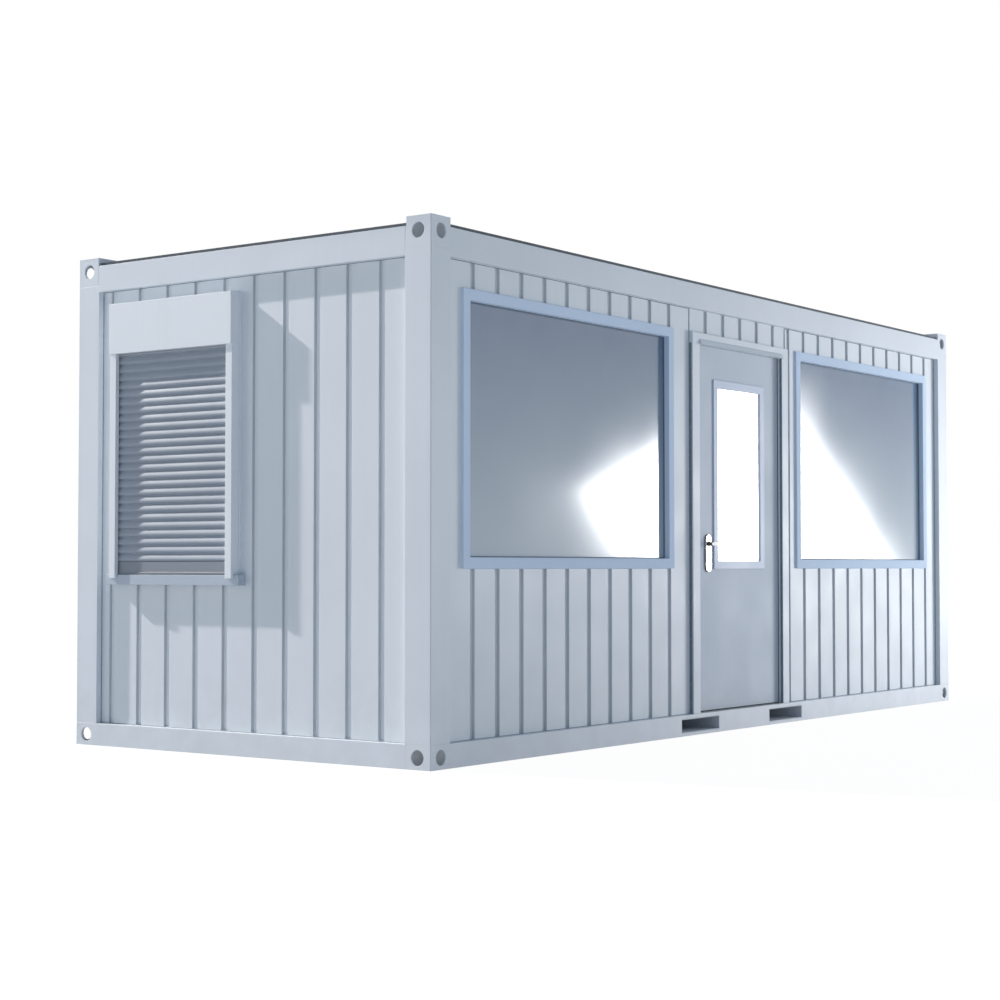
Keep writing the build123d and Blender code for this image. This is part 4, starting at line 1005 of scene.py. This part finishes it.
class CABIN_OT_lining(bpy.types.Operator):
    """Line the foot of the inner walls with a skirting"""
    bl_idname = "cabin.lining"
    bl_label = "Line the Room"

    def execute(self, context):
        trim = context.scene.cabin_trim
        floor = span("floor_deck")[1].z
        rear, front = span("rear_wall")[0].y, span("front_wall_left")[1].y
        left, right = span("gable_wall_left")[1].x, span("gable_wall_right")[0].x
        jamb_low, jamb_high = span("door_jambs")
        top, deep, soft = floor + trim.skirting_height, trim.skirting_depth, 1.5 * MM
        boards = [
            ((left, rear - deep), (right, rear)),
            ((left, front), (left + deep, rear - deep)),
            ((right - deep, front), (right, rear - deep)),
            ((left + deep, front), (jamb_low.x, front + deep)),
            ((jamb_high.x, front), (right - deep, front + deep)),
        ]
        boxes = [((*start, floor), (*end, top)) for start, end in boards]
        dress("skirting", boxes_mesh(boxes, soft), "cabin", "window_plastic")
        return {"FINISHED"}


class CABIN_OT_stage(bpy.types.Operator):
    """Set up the floor, the lights and the camera"""
    bl_idname = "cabin.stage"
    bl_label = "Build the Studio"

    def execute(self, context):
        stage = context.scene.cabin_stage
        self.place_camera(context, stage)
        self.lay_floor()
        self.hang_lights(stage)
        self.fill_world(context, stage)
        context.scene.view_settings.view_transform = "Standard"
        return {"FINISHED"}

    def place_camera(self, context, stage):
        """The camera stands off the corner of door side and shuttered gable, about a metre up."""
        data = bpy.data.cameras.new("photo_camera")
        data.sensor_width = 36.0
        data.lens = stage.lens
        data.clip_end = 400.0
        camera = placed("photo_camera", data)
        camera.location = stage.camera_place
        camera.rotation_euler = (math.pi / 2 + stage.camera_rise, 0, -stage.camera_turn)
        context.scene.camera = camera

    def seen_rays(self, tree):
        """One where the eye sees a thing straight, mirrored or through glass, else nothing."""
        rays = add_node(tree, "ShaderNodeLightPath")
        seen = add_node(tree, "ShaderNodeMath", {
            0: rays.outputs["Is Camera Ray"], 1: rays.outputs["Is Glossy Ray"],
        }, operation="MAXIMUM").outputs[0]
        return add_node(tree, "ShaderNodeMath", {
            0: seen, 1: rays.outputs["Is Transmission Ray"],
        }, operation="MAXIMUM").outputs[0]

    def lay_floor(self):
        """A wide pale floor that still takes the cabin's shadow."""
        size, seen_glow, bounce_glow, strength = 120.0, 0.88, 0.25, 1.09
        corners = [(-size, -size, 0), (size, -size, 0), (size, size, 0), (-size, size, 0)]
        mesh = bpy.data.meshes.new("studio_floor")
        mesh.from_pydata(corners, [], [(0, 1, 2, 3)])
        floor = placed("studio_floor", mesh)
        material, tree, shader, place = start_material("white_sweep")
        tone = add_node(tree, "ShaderNodeMix", {
            0: patches(tree, place, 1.5), 6: hex_colour("#A3A9B0"), 7: hex_colour("#ABB0B7"),
        }, data_type="RGBA").outputs[2]
        feed(tree, shader, {"Base Color": tone, "Roughness": 0.9})
        glow = add_node(tree, "ShaderNodeEmission", {"Color": (1, 1, 1, 1), "Strength": strength})
        share = add_node(tree, "ShaderNodeMapRange", {
            "Value": self.seen_rays(tree), "To Min": bounce_glow, "To Max": seen_glow,
        }).outputs[0]
        mixed = add_node(tree, "ShaderNodeMixShader", {0: share, 1: shader.outputs[0], 2: glow.outputs[0]})
        output = next(node for node in tree.nodes if node.type == "OUTPUT_MATERIAL")
        feed(tree, output, {"Surface": mixed.outputs[0]})
        mesh.materials.append(material)

    def hang_lamp(self, name, kind, energy, **settings):
        """A lamp in the scene, from its kind, its energy and its other settings."""
        data = bpy.data.lights.new(name, kind)
        data.energy = energy
        for key, value in settings.items():
            setattr(data, key, value)
        return placed(name, data)

    def hang_lights(self, stage):
        """A key light that grazes the gable, a softbox off the door side, and a fill for the far post."""
        beam, sun_width = Vector((1.0, -6.3, -4.3)), math.radians(1.0)
        sun = self.hang_lamp("key_light", "SUN", stage.sun_strength, angle=sun_width,
                             color=hex_colour("#FFF8F0")[:3])
        sun.rotation_euler = beam.to_track_quat("-Z", "Y").to_euler()
        self.hang_scrim(beam, stage.scrim)
        # A pane mirrors what its mirrored camera would see, so the softbox is aimed from there.
        mirrored, distance = Vector((-10.293, 4.62, 0.959)), 20.0
        wide, tall, heading, lift, roll = (math.radians(angle) for angle in (6.5, 8.0, -28.87, 0.47, 31))
        level = math.cos(lift)
        away = Vector((math.cos(heading) * level, math.sin(heading) * level, math.sin(lift)))
        box = self.hang_lamp(
            "softbox", "AREA", stage.softbox_power, shape="RECTANGLE",
            size=2 * distance * math.tan(wide / 2), size_y=2 * distance * math.tan(tall / 2),
        )
        box.location = mirrored + away * distance
        face = away.to_track_quat("-Z", "Y").to_matrix().to_4x4()
        turn = Matrix.Rotation(math.pi, 4, "Y") @ Matrix.Rotation(roll, 4, "Z")
        box.rotation_euler = (face @ turn).to_euler()
        box.visible_camera = False
        far_post = Vector((-3.0, 0.9, 1.4))
        fill = self.hang_lamp("fill_light", "AREA", stage.fill_power, size=2.0)
        fill.location = (-7.5, 3.8, 2.4)
        fill.rotation_euler = (far_post - fill.location).to_track_quat("-Z", "Y").to_euler()
        fill.visible_camera = False

    def hang_scrim(self, beam, passed):
        """A scrim behind the cabin. The key light grazes the gable, but would burn out rear side and roof."""
        gap, past = 0.4, 0.02
        posts_low, posts_high = span("corner_posts")
        top = span("top_castings")[1].z
        y = posts_high.y + gap
        left = posts_low.x + gap * beam.x / beam.y
        depth = y - posts_low.y
        right, upper = posts_high.x + past, top + depth * beam.z / beam.y
        # Light for the gable passes below a slope from here to the far corner, light for the roof above it.
        slope_foot, slope_left = top + gap * beam.z / beam.y, posts_low.x - depth * abs(beam.x / beam.y)
        corners = [
            (left, y, 0), (right, y, 0), (right, y, upper), (left, y, upper),
            (slope_left, y, upper), (left, y, slope_foot),
        ]
        mesh = bpy.data.meshes.new("scrim")
        mesh.from_pydata(corners, [], [(0, 1, 2, 3), (3, 4, 5)])
        scrim = placed("scrim", mesh)
        material = bpy.data.materials.new("scrim_cloth")
        material.use_nodes = True
        tree = material.node_tree
        tree.nodes.clear()
        cloth = add_node(tree, "ShaderNodeBsdfTransparent", {"Color": (passed, passed, passed, 1)})
        add_node(tree, "ShaderNodeOutputMaterial", {"Surface": cloth.outputs[0]})
        mesh.materials.append(material)
        for kind in ("camera", "diffuse", "glossy", "transmission", "volume_scatter"):
            setattr(scrim, "visible_" + kind, False)

    def fill_world(self, context, stage):
        """A pale sky fills the shade, and the background is plain white."""
        world = bpy.data.worlds.new("pale_sky")
        world.use_nodes = True
        tree = world.node_tree
        tree.nodes.clear()
        place = add_node(tree, "ShaderNodeTexCoord").outputs["Generated"]
        way = add_node(tree, "ShaderNodeSeparateXYZ", {0: place})
        glow = add_node(tree, "ShaderNodeMapRange", {
            "Value": way.outputs["Z"], "To Min": stage.sky_low, "To Max": stage.sky_high,
        }).outputs[0]
        sky = add_node(tree, "ShaderNodeBackground", {"Color": hex_colour("#C6DCF8"), "Strength": glow})
        white = add_node(tree, "ShaderNodeBackground", {"Color": (1, 1, 1, 1), "Strength": 1.0})
        mixed = add_node(tree, "ShaderNodeMixShader", {
            0: self.seen_rays(tree), 1: sky.outputs[0], 2: white.outputs[0],
        })
        add_node(tree, "ShaderNodeOutputWorld", {"Surface": mixed.outputs[0]})
        context.scene.world = world


OPERATORS = [
    CABIN_OT_finishes, CABIN_OT_slats, CABIN_OT_levers, CABIN_OT_seals, CABIN_OT_welds, CABIN_OT_hole_light,
    CABIN_OT_fixings, CABIN_OT_lining, CABIN_OT_stage,
]


class CABIN_PT_sidebar(bpy.types.Panel):
    """The cabin's steps in the sidebar"""
    bl_idname = "CABIN_PT_sidebar"
    bl_label = "Cabin"
    bl_space_type = "VIEW_3D"
    bl_region_type = "UI"
    bl_category = "Cabin"

    def draw(self, context):
        for operator in OPERATORS:
            self.layout.operator(operator.bl_idname)
        for group in (context.scene.cabin_finish, context.scene.cabin_trim, context.scene.cabin_stage):
            box = self.layout.box()
            for name in group.__annotations__:
                box.prop(group, name)


GROUPS = {"cabin_finish": CabinFinish, "cabin_trim": CabinTrim, "cabin_stage": CabinStage}
CLASSES = (*GROUPS.values(), *OPERATORS, CABIN_PT_sidebar)


def register():
    for kind in CLASSES:
        bpy.utils.register_class(kind)
    for name, kind in GROUPS.items():
        setattr(bpy.types.Scene, name, PointerProperty(type=kind))


def unregister():
    for name in GROUPS:
        delattr(bpy.types.Scene, name)
    for kind in reversed(CLASSES):
        bpy.utils.unregister_class(kind)


def main():
    """Dresses the cabin step by step."""
    register()
    for operator in OPERATORS:
        group, name = operator.bl_idname.split(".")
        getattr(getattr(bpy.ops, group), name)()
    bpy.context.view_layer.update()


if __name__ == "__main__":
    main()
